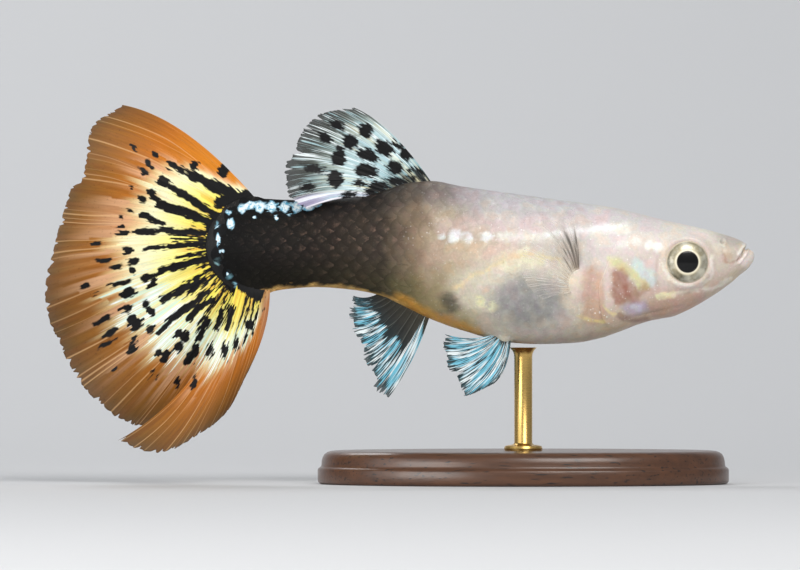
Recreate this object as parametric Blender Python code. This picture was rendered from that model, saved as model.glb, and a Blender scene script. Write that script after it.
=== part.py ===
"""A fancy guppy, life size, as a still museum model on a small display stand.

The fish swims level with its nose towards +X. Its right side faces -Y and its back faces +Z.
The origin is the centre of the stand's underside, on the floor.

Sizes are in millimetres. A place on the fish is given as (d, y, h): d is the distance behind the
tip of the lower jaw, y is to the fish's left, and h is the height above the long axis of the body.
"""

import math

import bmesh
import bpy
import numpy as np

MM = 0.001

# Length and place of the fish
SNOUT_X = 18.0
AXIS_HEIGHT = 18.2
GAP = 0.3

# Side outline of the body: (distance behind the jaw tip, height above the axis)
BACK_LINE = (
    (0.0, -0.46), (0.07, -0.22), (0.23, -0.04), (0.45, 0.07), (0.66, 0.12), (0.74, 0.42),
    (0.88, 0.60), (1.10, 0.75), (1.9, 1.06), (3.9, 1.63), (7.0, 2.33), (11.0, 3.30),
    (16.7, 4.15), (22.8, 5.00), (25.2, 5.42), (27.0, 5.25), (29.4, 4.50), (32.5, 4.02),
    (36.0, 3.93), (38.7, 4.05),
)
BELLY_LINE = (
    (0.0, -0.46), (0.07, -0.76), (0.27, -1.13), (0.58, -1.49), (1.03, -1.84), (1.92, -2.61),
    (3.8, -3.89), (5.3, -4.72), (6.5, -5.20), (8.1, -5.45), (9.3, -5.86), (11.5, -6.72),
    (13.8, -7.24), (16.7, -7.36), (18.8, -7.26), (22.8, -6.27), (25.1, -5.45), (27.6, -4.25),
    (29.0, -3.60), (31.5, -3.10), (34.1, -2.92), (36.7, -3.10), (38.2, -3.45),
)
# Half of the body's width, and the height at which it is widest
HALF_WIDTH = (
    (0.0, 0.0), (0.07, 0.62), (0.27, 1.08), (0.66, 1.45), (1.1, 1.68), (1.9, 2.03), (3.0, 2.42),
    (5.2, 2.92), (8.0, 3.35), (11.0, 3.66), (15.5, 3.85), (19.0, 3.68), (23.0, 3.16),
    (27.0, 2.52), (31.0, 1.98), (35.0, 1.50), (38.5, 0.96), (41.4, 0.50),
)
WIDEST_HEIGHT = (
    (0.0, -0.46), (0.7, -0.62), (2.5, -0.75), (6.0, -1.00), (11.0, -1.60), (16.0, -1.90),
    (23.0, -0.60), (30.0, 0.20), (41.4, 0.30),
)
# How square the section is above its widest height: 2 is an ellipse, more is flatter on top
UPPER_SQUARENESS = ((0.0, 2.2), (3.0, 2.7), (9.0, 2.5), (16.0, 2.15), (41.4, 2.0))
LOWER_SQUARENESS = 2.1

# Where the body is divided, and the round end of the tail stalk
HEAD_END = 12.9
TORSO_END = 30.6
STALK_END = 41.4
END_BULGE_FROM = 33.0
END_SWEEP_TOP = 2.9
END_SWEEP_BELOW = 3.6

RING_POINTS = 36

# Gill cover: rear edge as (degrees round the section from the side, distance behind the jaw tip)
GILL_EDGE = ((-90, 8.2), (-78, 9.3), (-62, 10.8), (-42, 11.9), (-15, 12.15), (10, 11.3), (35, 10.6),
             (90, 10.6))
GILL_EDGE_RING = 12.15
GILL_RISE = 0.24
GILL_STEP = 0.12
GILL_WARP_FROM = 6.5
GILL_RISE_FROM = 8.0
GILL_FADE_DEGREES = 28
GILL_THROAT_SHARE = 0.35

# Eye: a flattened ball in its socket
EYE_D = 5.20
EYE_H = -0.93
EYE_Y = 2.64
EYE_RADIUS = 1.6
EYE_HALF_DEPTH = 0.80
ORBIT_RIM = 0.10
ORBIT_RIM_WIDTH = 0.45

# Mouth: the cleft seen from the side, from in front of the lips back to the corner, and the lips,
# which sink into the cheek at their corners
CLEFT_FRONT = (0.30, 0.62)
CLEFT_CORNER = (1.38, -0.80)
CLEFT_WIDTH = 0.20
CLEFT_AHEAD = 0.9
LIP_RADIUS = 0.20
LIP_INSET = 0.04
LIP_CORNER_INSET = 0.13
LIP_TAPER = 0.45
LIP_SIDES = 8
LIP_STEPS = 14

# Nostrils, as places of their pits
NOSTRIL_D = 2.55
NOSTRIL_H = 0.95
NOSTRIL_RADIUS = 0.26

# Fins: thickness at the root, of the membrane and at the margin, and how far a ray's ridge adds to it
ROOT_THICKNESS = 0.90
MEMBRANE = 0.50
MARGIN = 0.30
RIDGE = 0.34
RIDGE_TAPER = 0.45
# The same, as shares of a ray's length: where the root has thinned out, the ridge is full, and the
# margin begins
ROOT_FADE = 0.3
RIDGE_FROM = 0.2
MARGIN_FROM = 0.8
# A ray forks from this share of its length, and its two branches spread by these shares of the pitch
FORK_FROM = 0.35
FORK_DONE = 0.65
FORK_SPREAD_ROOT = 0.05
FORK_SPREAD_TIP = 0.25
# How far the membrane stops short between rays, and how that varies along the margin
FRAY_FROM = 0.7
FRAY = 0.022
FRAY_VARIES = 0.6
FRAY_WAVE = 2.3
# Rows lie closer together towards the root
ROW_CROWDING = 0.85
# Least thickness of the fleshy pad at a paired fin's root, and how deep the fin is rooted in it
PAD_RIM = 0.25
PAD_ROOT_DEPTH = 0.32
# Edges of a fin that turn by more than this many degrees stay crisp
FIN_CREASE = 50

# Display stand
BASE_LENGTH = 32.0
BASE_WIDTH = 20.0
BASE_HEIGHT = 2.6
BASE_BEVEL = 0.5
ROD_RADIUS = 0.7
ROD_SOCKET_DEPTH = 1.6
ROD_SIDES = 20


def smooth(points, x):
    """Value at x of the smooth curve through the points, which never swings past them."""
    xs = np.array([p[0] for p in points], float)
    ys = np.array([p[1] for p in points], float)
    step = np.diff(xs)
    slope = np.diff(ys) / step
    tangent = np.zeros(len(xs))
    tangent[0], tangent[-1] = slope[0], slope[-1]
    for i in range(1, len(xs) - 1):
        if slope[i - 1] * slope[i] > 0:
            a = 2 * step[i] + step[i - 1]
            b = step[i] + 2 * step[i - 1]
            tangent[i] = (a + b) / (a / slope[i - 1] + b / slope[i])
    x = min(max(x, xs[0]), xs[-1])
    i = min(int(np.searchsorted(xs, x, side="right")) - 1, len(step) - 1)
    t = (x - xs[i]) / step[i]
    return float(
        (1 + 2 * t) * (1 - t) ** 2 * ys[i]
        + t * (1 - t) ** 2 * step[i] * tangent[i]
        + t * t * (3 - 2 * t) * ys[i + 1]
        + t * t * (t - 1) * step[i] * tangent[i + 1]
    )


def ease(x):
    """Smooth step from 0 at x = 0 to 1 at x = 1."""
    x = min(max(x, 0.0), 1.0)
    return x * x * (3 - 2 * x)


def place(d, y, h):
    """World position in metres of a place on the fish."""
    return ((SNOUT_X - d) * MM, y * MM, (AXIS_HEIGHT + h) * MM)


def material(name, colour, roughness, metallic=0.0):
    """A plain surface for one kind of piece."""
    made = bpy.data.materials.new(name)
    made.use_nodes = True
    shader = made.node_tree.nodes["Principled BSDF"]
    shader.inputs["Base Color"].default_value = (*colour, 1.0)
    shader.inputs["Roughness"].default_value = roughness
    shader.inputs["Metallic"].default_value = metallic
    return made


def mesh_object(name, vertices, faces, surface):
    """A named object from places in metres."""
    mesh = bpy.data.meshes.new(name)
    mesh.from_pydata([tuple(map(float, v)) for v in vertices], [], [tuple(f) for f in faces])
    mesh.validate()
    work = bmesh.new()
    work.from_mesh(mesh)
    bmesh.ops.recalc_face_normals(work, faces=work.faces)
    if work.calc_volume(signed=True) < 0:
        bmesh.ops.reverse_faces(work, faces=work.faces)
    work.to_mesh(mesh)
    work.free()
    if surface:
        mesh.materials.append(surface)
    made = bpy.data.objects.new(name, mesh)
    bpy.context.scene.collection.objects.link(made)
    return made


def keep_largest(mesh):
    """Leaves only the largest closed surface of a mesh."""
    work = bmesh.new()
    work.from_mesh(mesh)
    waiting = set(work.faces)
    shells = []
    while waiting:
        shell, edge_of_shell = set(), [waiting.pop()]
        while edge_of_shell:
            face = edge_of_shell.pop()
            shell.add(face)
            for edge in face.edges:
                for other in edge.link_faces:
                    if other in waiting:
                        waiting.remove(other)
                        edge_of_shell.append(other)
        shells.append(shell)
    shells.sort(key=lambda shell: sum(f.calc_area() for f in shell))
    for shell in shells[:-1]:
        bmesh.ops.delete(work, geom=list(shell), context="FACES")
    loose = [v for v in work.verts if not v.link_faces]
    bmesh.ops.delete(work, geom=loose, context="VERTS")
    work.to_mesh(mesh)
    work.free()


def fuse(body, pieces, operation):
    """Joins the pieces to the body, or cuts them out of it, and applies the result."""
    group = bpy.data.collections.new(body.name + "_pieces")
    bpy.context.scene.collection.children.link(group)
    for piece in pieces:
        bpy.context.scene.collection.objects.unlink(piece)
        group.objects.link(piece)
    step = body.modifiers.new("Fuse", "BOOLEAN")
    step.operation = operation
    step.operand_type = "COLLECTION"
    step.collection = group
    step.solver = "EXACT"
    bpy.context.view_layer.update()
    graph = bpy.context.evaluated_depsgraph_get()
    result = bpy.data.meshes.new_from_object(body.evaluated_get(graph))
    body.modifiers.clear()
    body.data = result
    keep_largest(result)
    for piece in pieces:
        bpy.data.objects.remove(piece)
    bpy.data.collections.remove(group)
    return body


def shade_round(made, angle=35):
    """Smooth shading, with edges sharper than the angle left crisp."""
    made.data.shade_smooth()
    made.data.set_sharp_from_angle(angle=math.radians(angle))


# Body

def end_sweep(t):
    """How far forward the top and the underside of ring t lie, which rounds the stalk's end."""
    share = ease((t - END_BULGE_FROM) / (STALK_END - END_BULGE_FROM))
    return END_SWEEP_TOP * share, END_SWEEP_BELOW * share


def section(d_back, d_belly, d_side, degrees):
    """Half width and height of the body at an angle round its section, 0 at the side."""
    widest = smooth(WIDEST_HEIGHT, d_side)
    half = smooth(HALF_WIDTH, d_side)
    c, s = abs(math.cos(math.radians(degrees))), math.sin(math.radians(degrees))
    if s >= 0:
        power = 2 / smooth(UPPER_SQUARENESS, d_side)
        reach = smooth(BACK_LINE, d_back) - widest
    else:
        power = 2 / LOWER_SQUARENESS
        reach = smooth(BELLY_LINE, d_belly) - widest
    return half * c ** power, widest + reach * abs(s) ** power


def skin_y(d, h):
    """Half width of the body at a height, which is where the side's skin lies."""
    widest = smooth(WIDEST_HEIGHT, d)
    if h >= widest:
        power = smooth(UPPER_SQUARENESS, d)
        share = (h - widest) / (smooth(BACK_LINE, d) - widest)
    else:
        power = LOWER_SQUARENESS
        share = (widest - h) / (widest - smooth(BELLY_LINE, d))
    return smooth(HALF_WIDTH, d) * max(1 - min(share, 1) ** power, 0) ** (1 / power)


def belly_h(d, y):
    """Height of the belly's skin beside the middle line."""
    widest = smooth(WIDEST_HEIGHT, d)
    share = min(abs(y) / smooth(HALF_WIDTH, d), 1)
    drop = (1 - share ** LOWER_SQUARENESS) ** (1 / LOWER_SQUARENESS)
    return widest + (smooth(BELLY_LINE, d) - widest) * drop


def gill_relief(t, degrees):
    """Rise of the gill cover over the skin, which ends in a step at its rear edge."""
    if t > GILL_EDGE_RING + GILL_STEP / 2:
        return 0.0
    above = ease((GILL_FADE_DEGREES - degrees) / GILL_FADE_DEGREES)
    beneath = GILL_THROAT_SHARE + (1 - GILL_THROAT_SHARE) * ease((degrees + 90) / GILL_FADE_DEGREES)
    rearward = ease((t - GILL_RISE_FROM) / (GILL_EDGE_RING - GILL_RISE_FROM))
    return GILL_RISE * above * beneath * rearward


def orbit_relief(d, h):
    """Low rim of skin round the eye."""
    away = math.hypot(d - EYE_D, h - EYE_H) - (EYE_RADIUS + GAP)
    return ORBIT_RIM * math.exp(-(away / ORBIT_RIM_WIDTH) ** 2)


def body_point(t, degrees):
    """Place on the body's right or left skin: ring t, and the angle round it from the side."""
    warp = ease((t - GILL_WARP_FROM) / (GILL_EDGE_RING - GILL_WARP_FROM))
    foot_of_step = GILL_EDGE_RING + GILL_STEP
    if t > foot_of_step:
        warp = 1 - ease((t - foot_of_step) / (HEAD_END - GAP / 2 - foot_of_step))
    d = t + warp * (smooth(GILL_EDGE, degrees) - GILL_EDGE_RING)
    top, below = end_sweep(t)
    d_back, d_belly = d - top, d - below
    y, h = section(d_back, d_belly, d, degrees)
    vertical = math.sin(math.radians(degrees))
    d -= (top if vertical > 0 else below) * vertical ** 2
    rise = gill_relief(t, degrees)
    if y > EYE_RADIUS:
        rise += orbit_relief(d, h)
    tilt = math.radians(degrees)
    return d, y + rise * math.cos(tilt), h + rise * math.sin(tilt)


def ring(t):
    """Places round ring t, from the left side over the back to the right side and beneath."""
    points = []
    for i in range(RING_POINTS):
        turn = 360 * i / RING_POINTS
        left = turn <= 90 or turn >= 270
        degrees = turn - 360 if turn >= 270 else (turn if left else 180 - turn)
        d, y, h = body_point(t, degrees)
        points.append(place(d, y if left else -y, h))
    return points


def body_length(name, rings, surface, tip=None):
    """A closed length of the body through the rings, from front to rear."""
    vertices, faces = [], []
    for t in rings:
        vertices += ring(t)
    n = RING_POINTS
    for k in range(len(rings) - 1):
        for i in range(n):
            j = (i + 1) % n
            faces.append((k * n + i, k * n + j, (k + 1) * n + j, (k + 1) * n + i))
    # A ring's places pair off left and right, so its cap is a strip of crossbars.
    quarter = n // 4
    for start, closed in ((0, tip is not None), ((len(rings) - 1) * n, False)):
        if closed:
            vertices.append(place(*tip))
            faces += [(len(vertices) - 1, start + (i + 1) % n, start + i) for i in range(n)]
            continue
        for i in range(-quarter, quarter):
            left_a, left_b = start + i % n, start + (i + 1) % n
            right_a, right_b = start + (n // 2 - i) % n, start + (n // 2 - i - 1) % n
            bar = [left_a, left_b, right_b, right_a]
            faces.append([v for k, v in enumerate(bar) if v not in bar[:k]])
    made = mesh_object(name, vertices, faces, surface)
    shade_round(made)
    return made


def flattened_ball(name, centre, radii, surface, around=30, rows=10):
    """A closed ball with its own radius each way, its poles towards the left and right."""
    work = bmesh.new()
    bmesh.ops.create_uvsphere(work, u_segments=around, v_segments=rows, radius=1.0)
    mesh = bpy.data.meshes.new(name)
    for v in work.verts:
        x, y, z = v.co.x, v.co.z, -v.co.y
        v.co = place(centre[0] - x * radii[0], centre[1] + y * radii[1], centre[2] + z * radii[2])
    work.to_mesh(mesh)
    work.free()
    if surface:
        mesh.materials.append(surface)
    made = bpy.data.objects.new(name, mesh)
    bpy.context.scene.collection.objects.link(made)
    shade_round(made, 60)
    return made


def cleft_frame():
    """Start, end and direction of the cleft seen from the side, and the direction across it."""
    front, corner = np.array(CLEFT_FRONT), np.array(CLEFT_CORNER)
    along = (corner - front) / np.linalg.norm(corner - front)
    return front, corner, along, np.array([-along[1], along[0]])


def mouth_cutter():
    """A thin plate across the snout that parts the upper lip from the lower jaw."""
    front, corner, along, across = cleft_frame()
    front = front - along * CLEFT_AHEAD
    half = across * CLEFT_WIDTH / 2
    outline = [front + half, corner + half, corner - half, front - half]
    side = smooth(HALF_WIDTH, EYE_D)
    vertices = [place(d, y, h) for y in (-side, side) for d, h in outline]
    faces = [(0, 1, 2, 3), (7, 6, 5, 4)]
    faces += [(i, (i + 1) % 4, (i + 1) % 4 + 4, i + 4) for i in range(4)]
    return mesh_object("mouth_cutter", vertices, faces, None)


def lip(side_of_cleft):
    """A rounded roll along one edge of the mouth, from corner to corner round the snout.

    side_of_cleft is 1 for the upper lip and -1 for the lower one.
    """
    front, corner, along, across = cleft_frame()
    line = [front + (corner - front) * u for u in np.linspace(0, 1, 200)]
    edge = [(d, skin_y(d, h), h) for d, h in line if skin_y(d, h) > 0]
    right = [(d, -y, h) for d, y, h in reversed(edge)]
    path = np.array(right + edge)
    travelled = np.concatenate([[0], np.cumsum(np.linalg.norm(np.diff(path, axis=0), axis=1))])
    stops = np.linspace(0, travelled[-1], LIP_STEPS + 1)
    path = np.array([[np.interp(stop, travelled, path[:, k]) for k in range(3)] for stop in stops])
    up = np.array([across[0], 0, across[1]]) * side_of_cleft
    vertices, faces = [], []
    for i, point in enumerate(path):
        ahead = path[min(i + 1, LIP_STEPS)] - path[max(i - 1, 0)]
        ahead /= np.linalg.norm(ahead)
        outward = np.cross(up, ahead) * side_of_cleft
        from_middle = 2 * i / LIP_STEPS - 1
        radius = LIP_RADIUS * (1 - LIP_TAPER * from_middle ** 2)
        inset = LIP_INSET + LIP_CORNER_INSET * from_middle ** 4
        centre = point + up * (CLEFT_WIDTH / 2 + radius) - outward * inset
        for k in range(LIP_SIDES):
            turn = 2 * math.pi * k / LIP_SIDES
            vertices.append(place(*(centre + radius * (up * math.cos(turn) + outward * math.sin(turn)))))
    for i in range(LIP_STEPS):
        for k in range(LIP_SIDES):
            a, b = i * LIP_SIDES + k, i * LIP_SIDES + (k + 1) % LIP_SIDES
            faces.append((a, b, b + LIP_SIDES, a + LIP_SIDES))
    faces.append(tuple(range(LIP_SIDES)))
    faces.append(tuple(LIP_STEPS * LIP_SIDES + k for k in range(LIP_SIDES)))
    return mesh_object("lip", vertices, faces, None)


def make_body(skin, dark_skin):
    """Head with lips, mouth, nostrils and sockets, then the torso and the tail stalk."""
    snout = [0.03, 0.10, 0.22, 0.42, 0.64, 0.76, 0.90, 1.15, 1.5]
    cheek = list(np.linspace(2.0, GILL_EDGE_RING, 18))
    nape = list(np.linspace(GILL_EDGE_RING + GILL_STEP, HEAD_END - GAP / 2, 5))
    jaw_tip = (0.0, 0.0, BACK_LINE[0][1])
    head = body_length("head", snout + cheek + nape, skin, tip=jaw_tip)
    fuse(head, [lip(1), lip(-1)], "UNION")
    cutters = [mouth_cutter()]
    for side in (1, -1):
        socket = (EYE_RADIUS + GAP, EYE_HALF_DEPTH + GAP, EYE_RADIUS + GAP)
        cutters.append(flattened_ball("socket", (EYE_D, side * EYE_Y, EYE_H), socket, None))
        pit_at = (NOSTRIL_D, side * skin_y(NOSTRIL_D, NOSTRIL_H), NOSTRIL_H)
        pit = (NOSTRIL_RADIUS, NOSTRIL_RADIUS, NOSTRIL_RADIUS)
        cutters.append(flattened_ball("pit", pit_at, pit, None, around=8, rows=6))
    fuse(head, cutters, "DIFFERENCE")
    shade_round(head)

    torso_rings = list(np.linspace(HEAD_END + GAP / 2, TORSO_END - GAP / 2, 19))
    body_length("torso", torso_rings, skin)
    stalk_rings = list(np.linspace(TORSO_END + GAP / 2, STALK_END, 13))
    body_length("tail_stalk", stalk_rings, dark_skin)


def make_eyes(surface):
    radii = (EYE_RADIUS, EYE_HALF_DEPTH, EYE_RADIUS)
    for side, name in ((1, "eye_left"), (-1, "eye_right")):
        flattened_ball(name, (EYE_D, side * EYE_Y, EYE_H), radii, surface)


# Fins

def between(keys, q):
    """The key ray at q, from 0 at the first key to 1 at the last, each number eased between keys."""
    stations = np.linspace(0, 1, len(keys))
    columns = np.array(keys, float).T
    return np.array([smooth(list(zip(stations, column)), q) for column in columns])


def ray_point(key, v):
    """Place along a ray, v from 0 at the root to 1 at the tip.

    A key ray holds nine numbers: root, bend and tip, each as (d, y, h).
    """
    root, bend, tip = key[0:3], key[3:6], key[6:9]
    return root * (1 - v) ** 2 + bend * 2 * v * (1 - v) + tip * v * v


def fin_columns(rays, forked):
    """Columns of a fin's grid: (ray's place across the fin, side of its fork, kind)."""
    pitch = 1 / (rays - 1)
    columns = []
    for i in range(rays):
        middle = i * pitch
        if forked and 0 < i < rays - 1:
            columns += [(middle, -1, "ray"), (middle, 0, "stem"), (middle, 1, "ray")]
        else:
            columns.append((middle, 0, "ray"))
        if i < rays - 1:
            columns.append((middle + pitch / 2, 0, "membrane"))
    return columns


def fin_solid(name, keys, rays, rows, surface, wave=None, root_thickness=ROOT_THICKNESS, forked=False):
    """A fin as one closed membrane with a ridge along each ray, on both faces.

    The ray ridges and the valleys between them are columns of one grid, so both faces are split
    into triangles alike. A forked ray's ridge parts in two over its outer half. wave gives a
    sideways shift at a place across the fin and along its rays.
    """
    pitch = 1 / (rays - 1)
    columns = fin_columns(rays, forked)
    right_face, left_face = [], []
    for row in range(rows + 1):
        v = row / rows
        along = v ** ROW_CROWDING
        spread = FORK_SPREAD_ROOT + (FORK_SPREAD_TIP - FORK_SPREAD_ROOT) * along
        stem_ridge = 1 - ease((along - FORK_FROM) / (FORK_DONE - FORK_FROM))
        membrane = MEMBRANE + (root_thickness - MEMBRANE) * (1 - ease(v / ROOT_FADE))
        membrane += (MARGIN - MEMBRANE) * ease((v - MARGIN_FROM) / (1 - MARGIN_FROM))
        for middle, branch, kind in columns:
            q = middle + branch * pitch * spread
            ridge = {"ray": 1, "stem": stem_ridge, "membrane": 0}[kind]
            fray = FRAY * (1 - ridge) * (1 + FRAY_VARIES * math.sin(FRAY_WAVE * (q / pitch) ** 2))
            length = along * (1 - fray * ease((v - FRAY_FROM) / (1 - FRAY_FROM)))
            d, y, h = ray_point(between(keys, q), length)
            if wave:
                y += wave(q, length)
            thickness = membrane + RIDGE * ridge * (1 - RIDGE_TAPER * v) * ease(v / RIDGE_FROM)
            right_face.append(place(d, y - thickness / 2, h))
            left_face.append(place(d, y + thickness / 2, h))
    wide = len(columns)
    shift = len(right_face)
    faces = []
    for row in range(rows):
        for i in range(wide - 1):
            a, b = row * wide + i, row * wide + i + 1
            for triangle in ((a, b, b + wide), (a, b + wide, a + wide)):
                faces.append(triangle)
                faces.append([v + shift for v in reversed(triangle)])
    rim = list(range(wide)) + [row * wide + wide - 1 for row in range(1, rows + 1)]
    rim += [rows * wide + i for i in range(wide - 2, -1, -1)]
    rim += [row * wide for row in range(rows - 1, 0, -1)]
    for k, a in enumerate(rim):
        b = rim[(k + 1) % len(rim)]
        faces.append((a, a + shift, b + shift))
        faces.append((a, b + shift, b))
    made = mesh_object(name, right_face + left_face, faces, surface)
    shade_round(made, FIN_CREASE)
    return made


def fleshy_pad(centre, radii, height, on_skin, surface, around=14, rings=4):
    """A low mound at a fin's root, whose inner face lies one gap off the skin all over.

    on_skin gives the place at two coordinates along the skin and a distance off it.
    """
    spots = [(0.0, 0.0)]
    for ring_index in range(1, rings + 1):
        for k in range(around):
            turn = 2 * math.pi * k / around
            share = ring_index / rings
            spots.append((share * math.cos(turn), share * math.sin(turn)))
    inner, outer = [], []
    for a, b in spots:
        rise = PAD_RIM + height * math.sqrt(max(1 - a * a - b * b, 0))
        u, v = centre[0] + radii[0] * a, centre[1] + radii[1] * b
        inner.append(place(*on_skin(u, v, GAP)))
        outer.append(place(*on_skin(u, v, GAP + rise)))
    shift = len(inner)
    triangles = [(0, 1 + k, 1 + (k + 1) % around) for k in range(around)]
    for ring_index in range(rings - 1):
        for k in range(around):
            a = 1 + ring_index * around + k
            b = 1 + ring_index * around + (k + 1) % around
            triangles += [(a, a + around, b + around), (a, b + around, b)]
    faces = triangles + [[v + shift for v in reversed(t)] for t in triangles]
    last = 1 + (rings - 1) * around
    for k in range(around):
        a, b = last + k, last + (k + 1) % around
        faces.append((a, a + shift, b + shift))
        faces.append((a, b + shift, b))
    return mesh_object("pad", inner + outer, faces, surface)


def stalk_end(share):
    """Place on the end of the tail stalk, share from 1 at the top to -1 beneath, one gap off it."""
    top, below = end_sweep(STALK_END)
    widest = smooth(WIDEST_HEIGHT, STALK_END)
    upper = smooth(BACK_LINE, STALK_END - top) - widest
    lower = widest - smooth(BELLY_LINE, STALK_END - below)
    reach, sweep = (upper, top) if share > 0 else (lower, below)
    d, h = STALK_END - sweep * share * share, widest + reach * share
    out = np.array([reach, 2 * sweep * abs(share) * math.copysign(1, share)])
    out /= np.linalg.norm(out)
    return d + out[0] * GAP, h + out[1] * GAP


def tail_key(share, bend, tip, y_bend=0.0, y_tip=0.0):
    """A key ray of the tail fin, rooted on the stalk's round end."""
    d, h = stalk_end(share)
    return (d, 0.0, h, bend[0], y_bend, bend[1], tip[0], y_tip, tip[1])


def make_tail_fin(surface):
    """The tail fin: a wide fan, and a lower lobe that folds over it towards the right side."""
    fan = [
        tail_key(0.97, (44.2, 10.4), (49.2, 11.3), 0.1, 0.5),
        tail_key(0.72, (45.3, 7.9), (51.9, 9.4), 0.0, 0.1),
        tail_key(0.45, (46.3, 4.6), (53.0, 5.6), -0.1, -0.7),
        tail_key(0.18, (46.8, 1.9), (54.3, 1.5), -0.1, -0.9),
        tail_key(-0.06, (46.7, -0.7), (55.2, -3.3), 0.0, -0.3),
        tail_key(-0.26, (45.7, -3.4), (54.0, -7.7), 0.2, 0.5),
        tail_key(-0.44, (44.1, -5.6), (51.6, -11.4), 0.4, 1.1),
        tail_key(-0.58, (42.5, -6.8), (48.2, -13.7), 0.6, 1.5),
        tail_key(-0.72, (41.4, -7.6), (44.6, -13.3), 0.7, 1.6),
    ]
    lobe = [
        tail_key(-0.56, (42.0, -10.7), (49.5, -14.8), -0.9, -1.5),
        tail_key(-0.68, (41.0, -10.3), (46.6, -15.9), -1.0, -2.1),
        tail_key(-0.79, (40.2, -8.8), (43.4, -14.4), -0.8, -1.9),
        tail_key(-0.89, (38.9, -7.4), (41.1, -12.6), -0.5, -1.2),
        tail_key(-0.98, (37.6, -6.0), (39.4, -9.4), -0.3, -0.6),
    ]

    fan_swell, fan_waves = 0.38, 3.5
    lobe_swell, lobe_waves, lobe_root_shift = 0.2, 1.5, -0.16

    def fan_wave(q, v):
        return fan_swell * v ** 1.5 * math.sin(2 * math.pi * fan_waves * q)

    def lobe_wave(q, v):
        return lobe_root_shift * (1 - v) + lobe_swell * v ** 1.5 * math.sin(2 * math.pi * lobe_waves * q)

    fin = fin_solid("caudal_fin", fan, 21, 11, surface, fan_wave, forked=True)
    lower = fin_solid("lobe", lobe, 7, 9, surface, lobe_wave, forked=True)
    fuse(fin, [lower], "UNION")
    shade_round(fin, FIN_CREASE)


def make_dorsal_fin(surface):
    """The dorsal fin, whose rear rays flop over the back towards the right side."""
    def key(base, bend, tip, y_bend, y_tip):
        root = (base, 0.0, smooth(BACK_LINE, base) + GAP)
        return (*root, bend[0], y_bend, bend[1], tip[0], y_tip, tip[1])

    keys = [
        key(24.9, (28.2, 9.9), (31.2, 11.1), 0.0, 0.2),
        key(25.6, (29.4, 9.3), (33.6, 10.8), 0.0, 0.3),
        key(26.3, (30.4, 8.1), (35.0, 9.7), 0.1, 0.3),
        key(27.0, (31.0, 7.3), (35.9, 8.0), 0.1, 0.0),
        key(27.7, (31.3, 6.6), (36.5, 6.0), 0.0, -0.6),
        key(28.3, (31.4, 6.0), (36.4, 4.5), -0.3, -1.3),
        key(28.9, (31.7, 5.2), (35.2, 3.7), -0.9, -1.75),
    ]
    fin_solid("dorsal_fin", keys, 9, 8, surface)


def make_anal_fin(surface):
    """The anal fin, a fan under the rear of the belly."""
    def key(base, bend, tip, y_tip):
        root = (base, 0.0, smooth(BELLY_LINE, base) - GAP)
        return (*root, bend[0], 0.0, bend[1], tip[0], y_tip, tip[1])

    keys = [
        key(25.2, (26.5, -9.0), (28.5, -11.5), 0.3),
        key(25.7, (27.5, -8.6), (29.4, -10.6), 0.2),
        key(26.3, (28.1, -7.5), (30.2, -8.7), -0.1),
        key(27.0, (28.8, -6.4), (30.9, -7.0), -0.3),
        key(27.6, (29.3, -5.6), (31.4, -5.5), -0.2),
        key(28.2, (29.6, -4.8), (31.2, -4.2), 0.0),
    ]
    fin_solid("anal_fin", keys, 9, 7, surface, root_thickness=0.8)


def make_pelvic_fins(surface):
    """The pair of pelvic fins, each on a small fleshy pad under the belly."""
    root_y = 1.15
    for side, name in ((1, "pelvic_fin_left"), (-1, "pelvic_fin_right")):
        def on_belly(d, y, off):
            return d, side * y, belly_h(d, y) - off

        def key(root_d, bend, tip, spread):
            root = on_belly(root_d, root_y, GAP + PAD_ROOT_DEPTH)
            return (*root, bend[0], side * (root_y + 0.1 + spread * 0.4), bend[1],
                    tip[0], side * (root_y + 0.2 + spread), tip[1])

        keys = [
            key(18.95, (19.1, -9.4), (20.4, -10.4), 0.9),
            key(19.3, (20.0, -9.7), (22.7, -11.4), 0.8),
            key(19.65, (21.2, -8.8), (23.6, -9.5), 0.6),
            key(20.0, (21.8, -7.9), (24.1, -7.1), 0.3),
        ]
        fin = fin_solid(name, keys, 6, 6, surface, root_thickness=0.7)
        pad = fleshy_pad((19.45, root_y), (0.95, 0.55), 0.35, on_belly, surface)
        fuse(fin, [pad], "UNION")
        shade_round(fin, FIN_CREASE)


def make_pectoral_fins(surface):
    """The pair of pectoral fins, fanned up and back from a fleshy base behind the gill cover."""
    for side, name in ((1, "pectoral_fin_left"), (-1, "pectoral_fin_right")):
        def on_flank(d, h, off):
            return d, side * (skin_y(d, h) + off), h

        def key(root, bend, tip, out_bend, out_tip):
            return (*on_flank(*root, GAP + PAD_ROOT_DEPTH), *on_flank(*bend, out_bend),
                    *on_flank(*tip, out_tip))

        keys = [
            key((13.75, -2.0), (13.9, 0.5), (15.0, 2.6), 0.95, 1.5),
            key((13.95, -2.15), (14.7, 0.3), (16.6, 1.9), 1.0, 1.8),
            key((14.15, -2.4), (15.5, -0.5), (17.9, 0.4), 1.1, 1.9),
            key((14.25, -2.7), (15.9, -1.6), (18.3, -1.3), 1.1, 1.9),
            key((14.25, -3.0), (15.8, -2.6), (17.6, -3.0), 1.1, 1.8),
            key((14.15, -3.3), (15.3, -3.4), (16.7, -3.9), 1.0, 1.5),
        ]
        fin = fin_solid(name, keys, 9, 6, surface, root_thickness=0.6)
        pad = fleshy_pad((14.0, -2.7), (0.85, 1.25), 0.45, on_flank, surface)
        fuse(fin, [pad], "UNION")
        shade_round(fin, FIN_CREASE)


# Stand

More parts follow.
